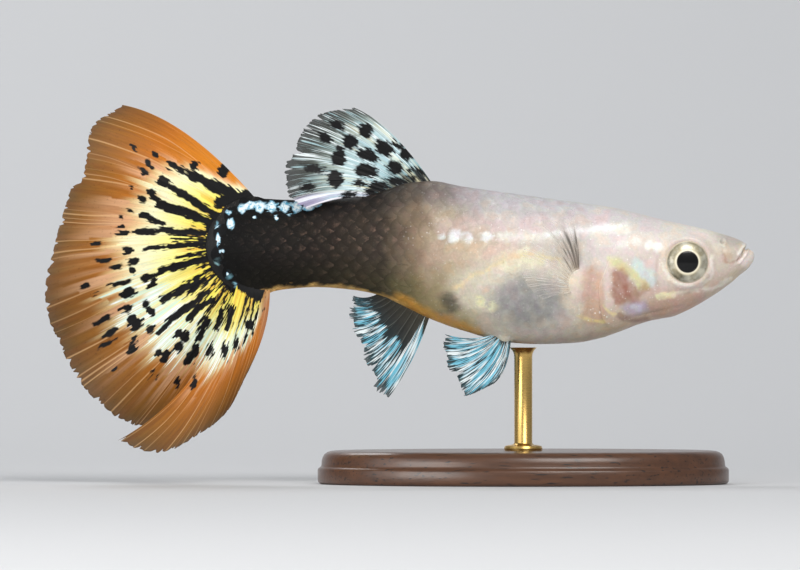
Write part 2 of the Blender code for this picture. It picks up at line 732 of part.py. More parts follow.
def make_stand(wood, brass):
    """An oval base with a rod that stands in its socket and reaches up to the belly."""
    sides = 48
    # Height and inset of each ring of the base's turned edge
    layers = (
        (0.0, BASE_BEVEL * 0.5), (BASE_BEVEL * 0.5, 0.0), (BASE_HEIGHT - BASE_BEVEL, 0.0),
        (BASE_HEIGHT - BASE_BEVEL * 0.3, BASE_BEVEL * 0.3), (BASE_HEIGHT, BASE_BEVEL),
    )
    vertices, faces = [], []
    for z, inset in layers:
        for i in range(sides):
            turn = 2 * math.pi * i / sides
            vertices.append((
                (BASE_LENGTH / 2 - inset) * math.cos(turn) * MM,
                (BASE_WIDTH / 2 - inset) * math.sin(turn) * MM,
                z * MM,
            ))
    for k in range(len(layers) - 1):
        for i in range(sides):
            j = (i + 1) % sides
            faces.append((k * sides + i, k * sides + j, (k + 1) * sides + j, (k + 1) * sides + i))
    faces.append(tuple(range(sides)))
    faces.append(tuple((len(layers) - 1) * sides + i for i in range(sides)))
    base = mesh_object("stand_base", vertices, faces, wood)
    socket_floor = BASE_HEIGHT - ROD_SOCKET_DEPTH
    socket = cylinder("socket", ROD_RADIUS + GAP, socket_floor, 2 * BASE_HEIGHT, None)
    fuse(base, [socket], "DIFFERENCE")
    shade_round(base)

    belly = AXIS_HEIGHT + smooth(BELLY_LINE, SNOUT_X)
    rod = cylinder("stand_rod", ROD_RADIUS, socket_floor + GAP, belly - GAP, brass)
    shade_round(rod)


def cylinder(name, radius, low, high, surface):
    """An upright cylinder on the origin's vertical line."""
    vertices = [
        (radius * math.cos(2 * math.pi * i / ROD_SIDES) * MM,
         radius * math.sin(2 * math.pi * i / ROD_SIDES) * MM, z * MM)
        for z in (low, high) for i in range(ROD_SIDES)
    ]
    n = ROD_SIDES
    faces = [(i, (i + 1) % n, n + (i + 1) % n, n + i) for i in range(n)]
    faces += [tuple(range(n)), tuple(range(n, 2 * n))]
    return mesh_object(name, vertices, faces, surface)


def main():
    for leftover in list(bpy.data.objects):
        bpy.data.objects.remove(leftover)
    skin = material("pearl_skin", (0.72, 0.62, 0.58), 0.35)
    dark_skin = material("dark_skin", (0.09, 0.075, 0.07), 0.4)
    tail_membrane = material("orange_membrane", (0.75, 0.36, 0.12), 0.4)
    pale_membrane = material("pale_membrane", (0.62, 0.66, 0.70), 0.4)
    blue_membrane = material("blue_membrane", (0.35, 0.62, 0.75), 0.35)
    clear_membrane = material("clear_membrane", (0.75, 0.70, 0.62), 0.35)
    eye_surface = material("eye", (0.62, 0.58, 0.45), 0.1)
    wood = material("stand_wood", (0.10, 0.055, 0.035), 0.4)
    brass = material("stand_brass", (0.72, 0.55, 0.28), 0.3, 1.0)

    make_body(skin, dark_skin)
    make_eyes(eye_surface)
    make_tail_fin(tail_membrane)
    make_dorsal_fin(pale_membrane)
    make_anal_fin(blue_membrane)
    make_pelvic_fins(blue_membrane)
    make_pectoral_fins(clear_membrane)
    make_stand(wood, brass)


main()
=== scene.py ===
"""The finished surfaces of a fancy guppy, life size, as a museum model on its display stand.

A place on the fish is (d, y, h) in millimetres: d behind the tip of the lower jaw, y to the fish's left,
and h above the long axis of its body. The fish swims level with its nose towards +X.
"""

import math

import bpy
import numpy as np
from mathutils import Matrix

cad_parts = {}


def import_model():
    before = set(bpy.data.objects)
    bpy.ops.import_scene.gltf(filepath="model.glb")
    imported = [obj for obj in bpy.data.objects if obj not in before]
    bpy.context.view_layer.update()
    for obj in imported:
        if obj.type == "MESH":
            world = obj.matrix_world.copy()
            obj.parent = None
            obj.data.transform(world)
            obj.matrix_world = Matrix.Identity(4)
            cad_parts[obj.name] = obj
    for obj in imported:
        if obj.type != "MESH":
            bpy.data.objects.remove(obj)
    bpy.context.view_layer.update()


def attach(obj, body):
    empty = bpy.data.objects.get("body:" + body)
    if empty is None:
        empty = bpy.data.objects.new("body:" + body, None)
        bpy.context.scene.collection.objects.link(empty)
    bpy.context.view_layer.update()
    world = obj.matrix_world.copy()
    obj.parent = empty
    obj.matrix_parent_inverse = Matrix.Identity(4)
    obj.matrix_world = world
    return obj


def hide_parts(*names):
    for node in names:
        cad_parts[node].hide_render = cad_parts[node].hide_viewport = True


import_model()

# Camera
# Level with the fish and square to its right side, through a long lens, so that the picture spans the
# same 62 mm of the fish's plane as the photograph.

MM = 0.001
SNOUT_X = 18.0
AXIS_HEIGHT = 18.2
PICTURE_WIDTH = 62.24
PICTURE_CENTRE = (-9.59, 15.48)
LENS = 400.0
SENSOR = 36.0

lens = bpy.data.cameras.new("camera")
lens.lens = LENS
lens.sensor_width = SENSOR
lens.clip_start = 0.01
camera = bpy.data.objects.new("camera", lens)
camera_away = PICTURE_WIDTH * LENS / SENSOR
camera.location = (PICTURE_CENTRE[0] * MM, -camera_away * MM, PICTURE_CENTRE[1] * MM)
camera.rotation_euler = (math.radians(90), 0, 0)
bpy.context.scene.collection.objects.link(camera)
bpy.context.scene.camera = camera


# Skin
# One skin covers the head, trunk and tail stalk, and ends in the scaled sheath round the roots of the
# tail rays. It is cast resin on the real model: a fine net of rings round the body, raised and sunk for
# the lips, mouth, nostrils, eye rims, cheek, gill cover and the fleshy fin bases.

# Side outline of the body: (distance behind the jaw tip, height above the axis)
BACK_LINE = (
    (0.0, -0.46), (0.07, -0.22), (0.23, -0.04), (0.45, 0.07), (0.66, 0.12), (0.74, 0.42),
    (0.88, 0.60), (1.10, 0.75), (1.9, 1.06), (3.9, 1.63), (7.0, 2.33), (11.0, 3.30),
    (16.7, 4.15), (22.8, 5.00), (25.2, 5.42), (27.0, 5.25), (29.4, 4.50), (32.5, 4.02),
    (36.0, 3.93), (38.7, 4.05),
)
BELLY_LINE = (
    (0.0, -0.46), (0.07, -0.76), (0.27, -1.13), (0.58, -1.49), (1.03, -1.84), (1.92, -2.61),
    (3.8, -3.89), (5.3, -4.72), (6.5, -5.20), (8.1, -5.45), (9.3, -5.86), (11.5, -6.72),
    (13.8, -7.24), (16.7, -7.36), (18.8, -7.26), (22.8, -6.27), (25.1, -5.45), (27.6, -4.25),
    (29.0, -3.60), (31.5, -3.10), (34.1, -2.92), (36.7, -3.10), (38.2, -3.45),
)
HALF_WIDTH = (
    (0.0, 0.0), (0.07, 0.62), (0.27, 1.08), (0.66, 1.45), (1.1, 1.68), (1.9, 2.03), (3.0, 2.42),
    (5.2, 2.92), (8.0, 3.35), (11.0, 3.66), (15.5, 3.85), (19.0, 3.68), (23.0, 3.16),
    (27.0, 2.52), (31.0, 1.98), (35.0, 1.50), (38.5, 0.96), (41.4, 0.50),
)
WIDEST_HEIGHT = (
    (0.0, -0.46), (0.7, -0.62), (2.5, -0.75), (6.0, -1.00), (11.0, -1.60), (16.0, -1.90),
    (23.0, -0.60), (30.0, 0.20), (41.4, 0.30),
)
UPPER_SQUARENESS = ((0.0, 2.2), (3.0, 2.7), (9.0, 2.5), (16.0, 2.15), (41.4, 2.0))
LOWER_SQUARENESS = 2.1

HEAD_END = 12.9
STALK_END = 41.4
END_BULGE_FROM = 33.0
END_SWEEP_TOP = 2.9
END_SWEEP_BELOW = 3.6
SHEATH = 1.3
SHEATH_EDGE = 0.28

GILL_EDGE = ((-90, 8.2), (-78, 9.3), (-62, 10.8), (-42, 11.9), (-15, 12.15), (10, 11.3), (35, 10.6),
             (90, 10.6))
GILL_EDGE_RING = 12.15
GILL_RISE = 0.12
GILL_STEP = 0.05
GILL_WARP_FROM = 6.5
GILL_RISE_FROM = 8.0
GILL_FADE_DEGREES = 28
GILL_THROAT_SHARE = 0.35

EYE_D = 5.32
EYE_Y = 2.64
EYE_H = -0.93
EYE_RADIUS = 1.70
EYE_HALF_DEPTH = 0.80
EYE_LEAN = 0.15
SCALE_DEPTH = 0.04

# Relief of the head, as lines seen from the side: the mouth, and the grooves with their depth and width,
# which are the fold of the upper jaw, the edge of the cheek and two lines under the throat
MOUTH_CORNER = 1.38
MOUTH_LINE = ((0.62, 0.20), (0.95, -0.24), (MOUTH_CORNER, -0.80))
MOUTH_DEPTH, MOUTH_WIDTH = 0.15, 0.075
LIP_RISE, LIP_OFF, LIP_WIDTH = 0.10, 0.24, 0.12
GROOVES = (
    (((2.55, 0.00), (2.50, -0.45), (2.20, -0.90), (1.75, -1.02), (1.50, -0.95)), 0.035, 0.11),
    (((7.55, -0.60), (7.72, -1.60), (7.68, -2.50), (7.25, -3.15), (6.0, -3.55), (4.4, -3.30)), 0.035, 0.14),
    (((5.6, -4.35), (8.6, -5.00)), 0.04, 0.10),
    (((7.0, -4.75), (9.9, -5.30)), 0.04, 0.10),
)
# Places (distance, height) of the jaw's knuckle, the nostrils and the fleshy bases of the paired fins (for
# the pelvic fins the distance and how far they are to the side), with the size of each
JAW_KNUCKLE, KNUCKLE_RISE, KNUCKLE_WIDTH = (1.95, -0.35), 0.05, 0.45
NOSTRIL = (2.55, 0.66)
NOSTRIL_DEPTH, NOSTRIL_WIDTH = 0.20, 0.15
NOSTRIL_RIM, RIM_OFF, RIM_WIDTH = 0.06, 0.26, 0.09
PECTORAL_BASE, PECTORAL_REACH, PECTORAL_RISE = (13.9, -2.65), (1.4, 1.8), 0.18
PELVIC_BASE, PELVIC_REACH, PELVIC_RISE = (19.45, 1.15), (1.0, 0.62), 0.30
# The bowl that each eye is pressed into, and the rim round it
BOWL_DEPTH, BOWL_FLOOR, BOWL_EDGE = 0.45, 1.25, 1.65
RIM_RISE, EYE_RIM_OFF, EYE_RIM_WIDTH = 0.08, 1.90, 0.16
SETTING_OUT, SETTING_REACH, SETTING_END = 0.22, 1.72, 2.37


def smooth(points, x):
    """Values at x of the smooth curve through the points, which never swings past them."""
    xs, ys = np.array(points, float).T
    step = np.diff(xs)
    slope = np.diff(ys) / step
    tangent = np.zeros(len(xs))
    tangent[0], tangent[-1] = slope[0], slope[-1]
    before, after = slope[:-1], slope[1:]
    a = 2 * step[1:] + step[:-1]
    b = step[1:] + 2 * step[:-1]
    even = before * after > 0
    tangent[1:-1][even] = (a + b)[even] / (a[even] / before[even] + b[even] / after[even])
    x = np.clip(x, xs[0], xs[-1])
    i = np.clip(np.searchsorted(xs, x, side="right") - 1, 0, len(step) - 1)
    t = (x - xs[i]) / step[i]
    return (
        (1 + 2 * t) * (1 - t) ** 2 * ys[i]
        + t * (1 - t) ** 2 * step[i] * tangent[i]
        + t * t * (3 - 2 * t) * ys[i + 1]
        + t * t * (t - 1) * step[i] * tangent[i + 1]
    )


def ease(x):
    """Smooth step from 0 at x = 0 to 1 at x = 1."""
    x = np.clip(x, 0.0, 1.0)
    return x * x * (3 - 2 * x)


def fade(x, start, end):
    """Smooth step from 0 at start to 1 at end, which may be the lower of the two."""
    return ease((x - start) / (end - start))


def bump(distance, width):
    """A soft hill of height 1 over distance 0."""
    return np.exp(-(distance / width) ** 2)


def from_line(d, h, points):
    """Distance of places from a line of straight pieces, seen from the side."""
    least = np.full(np.shape(d), np.inf)
    for (d0, h0), (d1, h1) in zip(points, points[1:]):
        run_d, run_h = d1 - d0, h1 - h0
        share = ((d - d0) * run_d + (h - h0) * run_h) / (run_d ** 2 + run_h ** 2)
        share = np.clip(share, 0, 1)
        least = np.minimum(least, np.hypot(d - d0 - share * run_d, h - h0 - share * run_h))
    return least


def off_middle(d, h, middle, reach):
    """How far places are from the middle of a patch, where 1 is its rim."""
    return np.hypot((d - middle[0]) / reach[0], (h - middle[1]) / reach[1])


def section(d_back, d_belly, d_side, vertical):
    """Half width and height of the body round its section; vertical is the sine of the angle there."""
    widest = smooth(WIDEST_HEIGHT, d_side)
    level = np.sqrt(np.maximum(1 - vertical ** 2, 0))
    over = vertical >= 0
    power = np.where(over, 2 / smooth(UPPER_SQUARENESS, d_side), 2 / LOWER_SQUARENESS)
    reach = np.where(over, smooth(BACK_LINE, d_back), smooth(BELLY_LINE, d_belly)) - widest
    return smooth(HALF_WIDTH, d_side) * level ** power, widest + reach * np.abs(vertical) ** power


def skin_y(d, h):
    """Half width of the body at a height, which is where the side's skin lies."""
    widest = smooth(WIDEST_HEIGHT, d)
    over = h >= widest
    power = np.where(over, smooth(UPPER_SQUARENESS, d), LOWER_SQUARENESS)
    edge = np.where(over, smooth(BACK_LINE, d), smooth(BELLY_LINE, d))
    share = np.clip((h - widest) / (edge - widest), 0, 1)
    return smooth(HALF_WIDTH, d) * (1 - share ** power) ** (1 / power)


def belly_h(d, y):
    """Height of the belly's skin beside the middle line."""
    widest = smooth(WIDEST_HEIGHT, d)
    share = np.minimum(np.abs(y) / smooth(HALF_WIDTH, d), 1)
    drop = (1 - share ** LOWER_SQUARENESS) ** (1 / LOWER_SQUARENESS)
    return widest + (smooth(BELLY_LINE, d) - widest) * drop


def gill_relief(t, degrees):
    """Rise of the gill cover over the skin, which ends in a step at its rear edge."""
    above = fade(degrees, GILL_FADE_DEGREES, 0)
    beneath = GILL_THROAT_SHARE + (1 - GILL_THROAT_SHARE) * fade(degrees, -90, GILL_FADE_DEGREES - 90)
    rearward = fade(t, GILL_RISE_FROM, GILL_EDGE_RING)
    return np.where(t > GILL_EDGE_RING + GILL_STEP / 2, 0.0, GILL_RISE * above * beneath * rearward)


def end_curve(vertical, off):
    """Place on the round end of the tail stalk, off it to the rear, as (d, h)."""
    over = vertical >= 0
    widest = smooth(WIDEST_HEIGHT, STALK_END)
    upper = smooth(BACK_LINE, STALK_END - END_SWEEP_TOP) - widest
    lower = widest - smooth(BELLY_LINE, STALK_END - END_SWEEP_BELOW)
    reach = np.where(over, upper, lower)
    sweep = np.where(over, END_SWEEP_TOP, END_SWEEP_BELOW)
    out_d, out_h = reach, 2 * sweep * vertical
    length = np.hypot(out_d, out_h)
    d = STALK_END - sweep * vertical ** 2 + out_d / length * off
    return d, widest + reach * vertical + out_h / length * off


def skin_point(t, turn):
    """Place on the skin: ring t, and the turn round it from the left side over the back."""
    vertical = np.sin(turn)
    degrees = np.degrees(np.arcsin(np.clip(vertical, -1, 1)))
    ring = np.minimum(t, STALK_END)
    foot = GILL_EDGE_RING + GILL_STEP
    warp = np.where(ring > foot, fade(ring, HEAD_END, foot), fade(ring, GILL_WARP_FROM, GILL_EDGE_RING))
    d = ring + warp * (smooth(GILL_EDGE, degrees) - GILL_EDGE_RING)
    swept = fade(ring, END_BULGE_FROM, STALK_END)
    top, below = END_SWEEP_TOP * swept, END_SWEEP_BELOW * swept
    y, h = section(d - top, d - below, d, vertical)
    d = d - np.where(vertical > 0, top, below) * vertical ** 2
    rise = gill_relief(ring, degrees)
    y, h = y + rise * np.sqrt(np.maximum(1 - vertical ** 2, 0)), h + rise * vertical
    beyond = np.maximum(t - STALK_END, 0) * (1 - 0.9 * np.abs(vertical) ** 5)
    end_d, end_h = end_curve(vertical, 0)
    off_d, off_h = end_curve(vertical, beyond)
    y = y * (1 + (SHEATH_EDGE - 1) * ease(beyond / SHEATH))
    return d + off_d - end_d, np.sign(np.cos(turn)) * y, h + off_h - end_h


def head_relief(d, y, h):
    """How far the skin stands out or in at a place, over the plain body."""
    rise = -SCALE_DEPTH * fade(d, GILL_EDGE_RING, GILL_EDGE_RING + 0.5)
    mouth = from_line(d, h, MOUTH_LINE)
    corner = fade(d, MOUTH_CORNER + 0.25, MOUTH_CORNER - 0.25) * fade(d, 0.35, 0.6)
    rise -= MOUTH_DEPTH * bump(mouth, MOUTH_WIDTH) * corner
    rise += LIP_RISE * bump(mouth - LIP_OFF, LIP_WIDTH) * corner
    for line, depth, width in GROOVES:
        rise -= depth * bump(from_line(d, h, line), width)
    rise += KNUCKLE_RISE * bump(np.hypot(d - JAW_KNUCKLE[0], h - JAW_KNUCKLE[1]), KNUCKLE_WIDTH)
    pit = np.hypot(d - NOSTRIL[0], h - NOSTRIL[1])
    nostril = NOSTRIL_RIM * bump(pit - RIM_OFF, RIM_WIDTH) - NOSTRIL_DEPTH * bump(pit, NOSTRIL_WIDTH)
    rise += np.where(np.abs(y) > 0.6, nostril, 0)
    shoulder = PECTORAL_RISE * (1 - ease(off_middle(d, h, PECTORAL_BASE, PECTORAL_REACH)))
    rise += np.where(np.abs(y) > 1.2, shoulder, 0)
    hip = PELVIC_RISE * (1 - ease(off_middle(d, np.abs(y), PELVIC_BASE, PELVIC_REACH)))
    return rise + np.where(h < -4, hip, 0)


def round_eye(d, y, h):
    """Half width of the skin, drawn in to a bowl and a low rim round each eye."""
    away = np.hypot(d - EYE_D, h - EYE_H)
    bowl = -BOWL_DEPTH * fade(away, BOWL_EDGE, BOWL_FLOOR)
    rim = RIM_RISE * bump(away - EYE_RIM_OFF, EYE_RIM_WIDTH)
    setting = EYE_Y + EYE_LEAN * (d - EYE_D) + SETTING_OUT + bowl + rim
    hold = np.where(np.abs(y) > 1.2, fade(away, SETTING_END, SETTING_REACH), 0)
    return y + hold * (np.sign(y) * setting - y)


def world(d, y, h):
    """World places in metres, one row each, of places on the fish."""
    places = np.stack(np.broadcast_arrays(SNOUT_X - d, y, AXIS_HEIGHT + h), -1) * MM
    return places.reshape(-1, 3)


def mesh_piece(name, vertices, faces, surface=None):
    """A smooth-shaded piece from world places and faces."""
    mesh = bpy.data.meshes.new(name)
    mesh.from_pydata(vertices.tolist(), [], faces)
    mesh.shade_smooth()
    if surface:
        mesh.materials.append(surface)
    made = bpy.data.objects.new(name, mesh)
    bpy.context.scene.collection.objects.link(made)
    return made


def tube_faces(rings, around):
    """Four-sided faces between rings of this many vertices."""
    return [[k * around + i, k * around + (i + 1) % around, (k + 1) * around + (i + 1) % around,
             (k + 1) * around + i] for k in range(rings - 1) for i in range(around)]


def unit(vectors):
    """Vectors made one long."""
    return vectors / (np.linalg.norm(vectors, axis=-1, keepdims=True) + 1e-12)


def give(piece, name, values, kind="FLOAT_COLOR"):
    """Stores one number, colour or vector for each vertex."""
    values = np.asarray(values, np.float32)
    if values.ndim == 1:
        kind = "FLOAT"
    elif kind == "FLOAT_COLOR":
        values = np.column_stack([values, np.ones(len(values))])
    field = {"FLOAT": "value", "FLOAT_COLOR": "color", "FLOAT_VECTOR": "vector"}[kind]
    piece.data.attributes.new(name, kind, "POINT").data.foreach_set(field, values.ravel())


def fish_places(piece):
    """The (d, y, h) of each vertex of a piece."""
    co = np.empty(len(piece.data.vertices) * 3, np.float32)
    piece.data.vertices.foreach_get("co", co)
    x, y, z = co.reshape(-1, 3).T.astype(float) / MM
    return SNOUT_X - x, y, z - AXIS_HEIGHT


AROUND = 200
rings = np.concatenate([
    np.linspace(0.02, 1.6, 52), np.linspace(1.64, 12.05, 124), np.linspace(12.1, 12.3, 8),
    np.linspace(12.36, STALK_END, 190), np.linspace(STALK_END + 0.1, STALK_END + SHEATH, 12),
])
turns = np.linspace(0, 2 * math.pi, AROUND, endpoint=False)
ring_grid, turn_grid = np.meshgrid(rings, turns, indexing="ij")
places = np.stack(skin_point(ring_grid, turn_grid), -1)
d, y, h = np.moveaxis(places, -1, 0)
outward = unit(np.cross(np.roll(places, -1, 1) - np.roll(places, 1, 1), np.gradient(places, axis=0)))
from_middle = np.stack([0 * d, y, h - smooth(WIDEST_HEIGHT, d)], -1)
outward *= np.sign(np.sum(outward * from_middle, -1, keepdims=True) + 1e-9)
d, y, h = np.moveaxis(places + head_relief(d, y, h)[..., None] * outward, -1, 0)
vertices = np.vstack([world(d, round_eye(d, y, h), h), world(0.0, 0.0, BACK_LINE[0][1])])
tip = len(vertices) - 1
last = (len(rings) - 1) * AROUND
faces = tube_faces(len(rings), AROUND) + [[tip, (i + 1) % AROUND, i] for i in range(AROUND)]
for i in range(-AROUND // 4, AROUND // 4):
    bar = [last + n % AROUND for n in (i, AROUND // 2 - i, AROUND // 2 - i - 1, i + 1)]
    faces.append([v for n, v in enumerate(bar) if v not in bar[:n]][::-1])
skin = mesh_piece("body_skin", vertices, [face[::-1] for face in faces])

GRAIN_SEED = 3


def cloud(d, h, size, seed):
    """Uneven values between -1 and 1 that change over this many millimetres."""
    cells = 64
    table = np.random.default_rng(GRAIN_SEED + seed).uniform(-1, 1, (cells, cells))
    u, v = (0.8 * d + 0.6 * h) / size, (0.8 * h - 0.6 * d) / size
    i, j = np.floor(u).astype(int), np.floor(v).astype(int)
    a, b = ease(u - i), ease(v - j)
    near = table[i % cells, j % cells] * (1 - a) + table[(i + 1) % cells, j % cells] * a
    far = table[i % cells, (j + 1) % cells] * (1 - a) + table[(i + 1) % cells, (j + 1) % cells] * a
    return near * (1 - b) + far * b


# Ground colours of the skin: (distance behind the jaw tip, back, middle of the side, belly), as the
# codes of screen colours
GROUND = (
    (0.0, "d6cdc0", "d8c9b7", "e0d2be"), (2.0, "cec4b8", "d3c3b5", "d8c5b0"),
    (4.2, "e9e0d5", "d9c9bb", "d3bcaa"), (8.0, "dad2ce", "decdc4", "d6bba7"),
    (12.0, "d5cecc", "dacec7", "dacab2"), (16.0, "d0cbca", "dcd0c7", "dcd2c7"),
    (20.0, "cbc5c6", "dccabb", "d6cbba"), (22.9, "b0a6a4", "bcaa8c", "b3a37e"),
    (24.5, "8e827b", "bea991", "a69570"), (26.0, "6a5f57", "978069", "857753"),
    (27.6, "4b443f", "70604f", "6a6145"), (29.2, "2e2926", "40372f", "463f2f"),
    (32.0, "1d1a19", "332b24", "352f24"), (35.4, "171514", "221d19", "232018"),
    (38.5, "131211", "191613", "1a1813"), (41.0, "0a0a0a", "0c0b0a", "0c0b0a"),
    (42.7, "060606", "060606", "060606"),
)
# Silvery and glinting patches: the middle as (distance, height), and the reach along and up
BELLY_WINDOW = ((17.7, -3.95), (3.9, 2.7))
GILL_COVER = ((9.6, -2.2), (2.4, 2.6))
CHEEK = ((9.5, -1.5), (2.6, 2.6))
THROAT = ((12.2, -5.2), (1.6, 0.7))
SILVER_DARK, SILVER_PALE = "868487", "b8b5b0"
# Markings over the ground, among them painted highlights, glints and shade: (colour, strength, half width,
# soft edge, line as (distance, height))
GOLD_ARC = ((23.3, -3.0), (21.3, -1.75), (19.9, -0.92), (18.8, -0.45), (17.3, -0.40), (15.4, -0.8))
MARKS_AND_PAINTED_LIGHT = (
    ("ece2cf", 0.60, 0.9, 1.6, ((22.0, -3.0), (19.0, -2.0), (15.5, -2.4))),
    ("f9f0cc", 0.85, 0.30, 0.80, ((19.4, -0.9), (18.3, -0.55), (17.2, -0.8))),
    ("f3dcae", 0.85, 0.07, 0.15, GOLD_ARC),
    ("ecd0bb", 0.55, 0.30, 1.1, ((22.9, 0.0), (19.6, 0.0))),
    ("e6ccc9", 0.45, 0.20, 0.9, ((24.2, 1.9), (18.0, 1.9), (12.0, 2.3))),
    # painted highlight: a white line along the upper flank towards the nape
    ("fffaf2", 0.60, 0.10, 0.50, ((19.5, 1.0), (16.0, 1.1), (13.6, 1.45), (10.2, 1.72))),
    ("fffefb", 0.70, 0.06, 0.24, ((16.2, 1.18), (13.4, 1.50), (10.6, 1.75))),
    ("4a483f", 0.90, 0.30, 0.85, ((23.85, -4.0), (23.7, -4.2))),
    ("dca046", 0.92, 0.42, 0.60, ((22.0, -6.6), (23.4, -6.2), (25.1, -5.5), (27.6, -4.2))),
    ("fac878", 0.95, 0.12, 0.30, ((27.6, -4.3), (29.0, -3.62), (31.5, -3.12), (34.1, -2.94), (36.4, -3.1),
                                  (38.3, -3.5))),
    ("d3a58c", 0.80, 0.55, 0.70, ((12.7, -2.2), (12.6, -5.0))),
    ("e9d2c6", 0.75, 0.16, 0.26, ((11.4, -1.2), (11.35, -4.2))),
    ("a9735f", 0.90, 0.42, 0.50, ((10.55, -1.9), (10.45, -3.6))),
    ("a9735f", 0.70, 0.30, 0.45, ((9.8, -3.0), (9.5, -3.7))),
    ("e0db9e", 0.85, 0.12, 0.42, ((11.2, -0.90), (10.3, -1.20), (9.4, -2.0), (8.7, -2.8))),
    ("d6e6e2", 0.85, 0.22, 0.45, ((8.1, -2.3), (9.3, -1.2))),
    ("a8876a", 0.60, 0.15, 0.35, ((8.6, -3.0), (9.3, -3.3))),
    ("c0b5d0", 0.70, 0.16, 0.60, ((8.8, -4.45), (9.9, -4.6))),
    ("e6e4f2", 0.65, 0.05, 0.30, ((9.0, -4.45), (9.6, -4.40))),
    ("8d625c", 0.60, 0.05, 0.32, ((10.5, -5.18), (9.46, -5.45), (8.5, -5.40))),
    ("f6f2c2", 0.95, 0.17, 0.22, ((7.60, -3.62), (6.4, -3.40))),
    # painted highlight: a cream line along the lower jaw
    ("f6eed6", 0.75, 0.06, 0.22, ((6.4, -3.40), (4.6, -3.15))),
    ("fbf2e4", 0.70, 0.04, 0.26, ((4.6, -3.15), (3.2, -2.84), (1.9, -2.30))),
    ("c69c8b", 0.55, 0.40, 0.60, ((7.6, -4.5), (4.6, -3.95))),
    # painted glints: bright white patches behind the eye
    ("fdfaf6", 0.90, 0.14, 0.32, ((7.5, 0.12), (8.3, 0.25))),
    ("f7f3ee", 0.60, 0.10, 0.28, ((9.1, 0.70), (9.6, 0.75))),
    ("f7f3ee", 0.45, 0.12, 0.30, ((10.1, 0.45), (10.7, 0.38))),
    ("b79c95", 0.35, 0.05, 0.25, ((7.55, -0.50), (7.80, -1.8), (7.55, -2.80))),
    ("f0dccb", 0.60, 0.30, 0.60, ((6.9, -0.3), (7.1, -1.7))),
    ("c9a283", 0.45, 0.14, 0.32, ((2.05, -0.35), (2.40, -0.60))),
    ("a5a19a", 0.30, 0.16, 0.40, ((1.5, 0.62), (2.65, 0.88))),
    # painted highlight: a small bright spot below the nostril
    ("f3ede2", 0.60, 0.04, 0.12, ((2.52, 0.30), (2.62, 0.28))),
    ("faeae4", 0.80, 0.30, 0.50, ((0.1, -0.45), (0.75, -0.95))),
    ("f1eae2", 0.70, 0.10, 0.20, ((0.75, 0.42), (1.20, -0.30))),
    # painted shade along the mouth cleft
    ("8f6f62", 0.65, 0.03, 0.10, ((0.66, 0.16), (1.00, -0.30), (1.38, -0.80))),
    ("b9917a", 0.50, 0.03, 0.12, ((2.61, -0.28), (2.35, -0.82), (1.90, -1.0), (1.50, -0.92))),
    ("f4e4a8", 0.85, 0.05, 0.16, ((11.7, -4.45), (10.9, -5.02))),
    ("f2dfa0", 0.85, 0.06, 0.18, ((13.6, -5.15), (12.6, -5.55), (11.9, -5.5))),
    ("ead6c2", 0.80, 0.25, 1.00, ((14.1, -2.3), (14.3, -3.7))),
    # painted glints: bright white spots on single scales along the middle of the flank
    ("f3fbf7", 0.85, 0.12, 0.26, ((24.30, 1.09), (24.50, 1.05))),
    ("ffffff", 0.97, 0.20, 0.28, ((23.20, 1.15), (23.40, 0.95))),
    ("ffffff", 0.97, 0.18, 0.28, ((22.20, 1.08), (22.30, 0.85))),
    ("ffffff", 0.97, 0.18, 0.26, ((20.80, 1.10), (21.10, 1.05))),
    ("fbf6ee", 0.85, 0.12, 0.26, ((19.80, 1.12), (20.0, 1.06))),
    ("fbf6ee", 0.70, 0.08, 0.22, ((19.0, 1.37), (19.2, 1.36))),
    ("fbf6ee", 0.60, 0.05, 0.14, ((21.15, 2.10), (21.25, 2.12))),
    ("faf4c4", 0.90, 0.06, 0.17, ((21.40, -3.75), (21.55, -4.45))),
    ("faf4c4", 0.85, 0.05, 0.15, ((21.05, -3.95), (21.18, -4.35))),
    ("faf6d0", 0.90, 0.06, 0.17, ((20.45, -4.15), (20.65, -4.75))),
    ("f4e6b8", 0.70, 0.04, 0.14, ((20.20, -4.30), (20.28, -4.60))),
    ("e9c9a4", 0.80, 0.05, 0.16, ((20.95, -3.1), (21.05, -3.35))),
    ("8fc9dc", 0.90, 0.03, 0.10, ((40.05, -3.30), (39.75, -3.60))),
    ("8fc9dc", 0.90, 0.03, 0.10, ((40.55, -2.60), (40.35, -2.95))),
    ("8fc9dc", 0.80, 0.03, 0.10, ((41.0, -1.90), (40.85, -2.20))),
    ("a9d8e4", 0.80, 0.03, 0.10, ((41.75, -0.75), (41.65, -1.0))),
    ("8fc9dc", 0.80, 0.03, 0.08, ((39.2, -3.95), (39.0, -4.05))),
    ("8fc9dc", 0.70, 0.03, 0.08, ((41.95, 1.95), (41.80, 2.15))),
    ("f1e7da", 0.85, 0.06, 0.16, ((3.30, -0.40), (3.33, -1.35), (3.62, -2.15), (4.3, -2.72), (5.2, -2.92),
                                  (6.1, -2.72), (6.85, -2.05), (7.1, -1.2))),
)


def screen(code):
    """Linear colour of a screen colour's code."""
    value = np.array([int(code[i:i + 2], 16) for i in (0, 2, 4)]) / 255
    return np.where(value <= 0.04045, value / 12.92, ((value + 0.055) / 1.055) ** 2.4)


def blend(under, over, share):
    """A colour laid over others by a share for each place."""
    return under + (over - under) * share[:, None]


def ramp(stops, x, column=1):
    """Colours at x along rows of (place, colour code, ...)."""
    at = [stop[0] for stop in stops]
    colours = np.array([screen(stop[column]) for stop in stops])
    return np.column_stack([np.interp(x, at, colours[:, c]) for c in range(3)])


def side_level(d, h):
    """Height on the side of the body as a share, 0 at the belly line and 1 at the back line."""
    low = smooth(BELLY_LINE, d)
    return (h - low) / (smooth(BACK_LINE, d) - low)


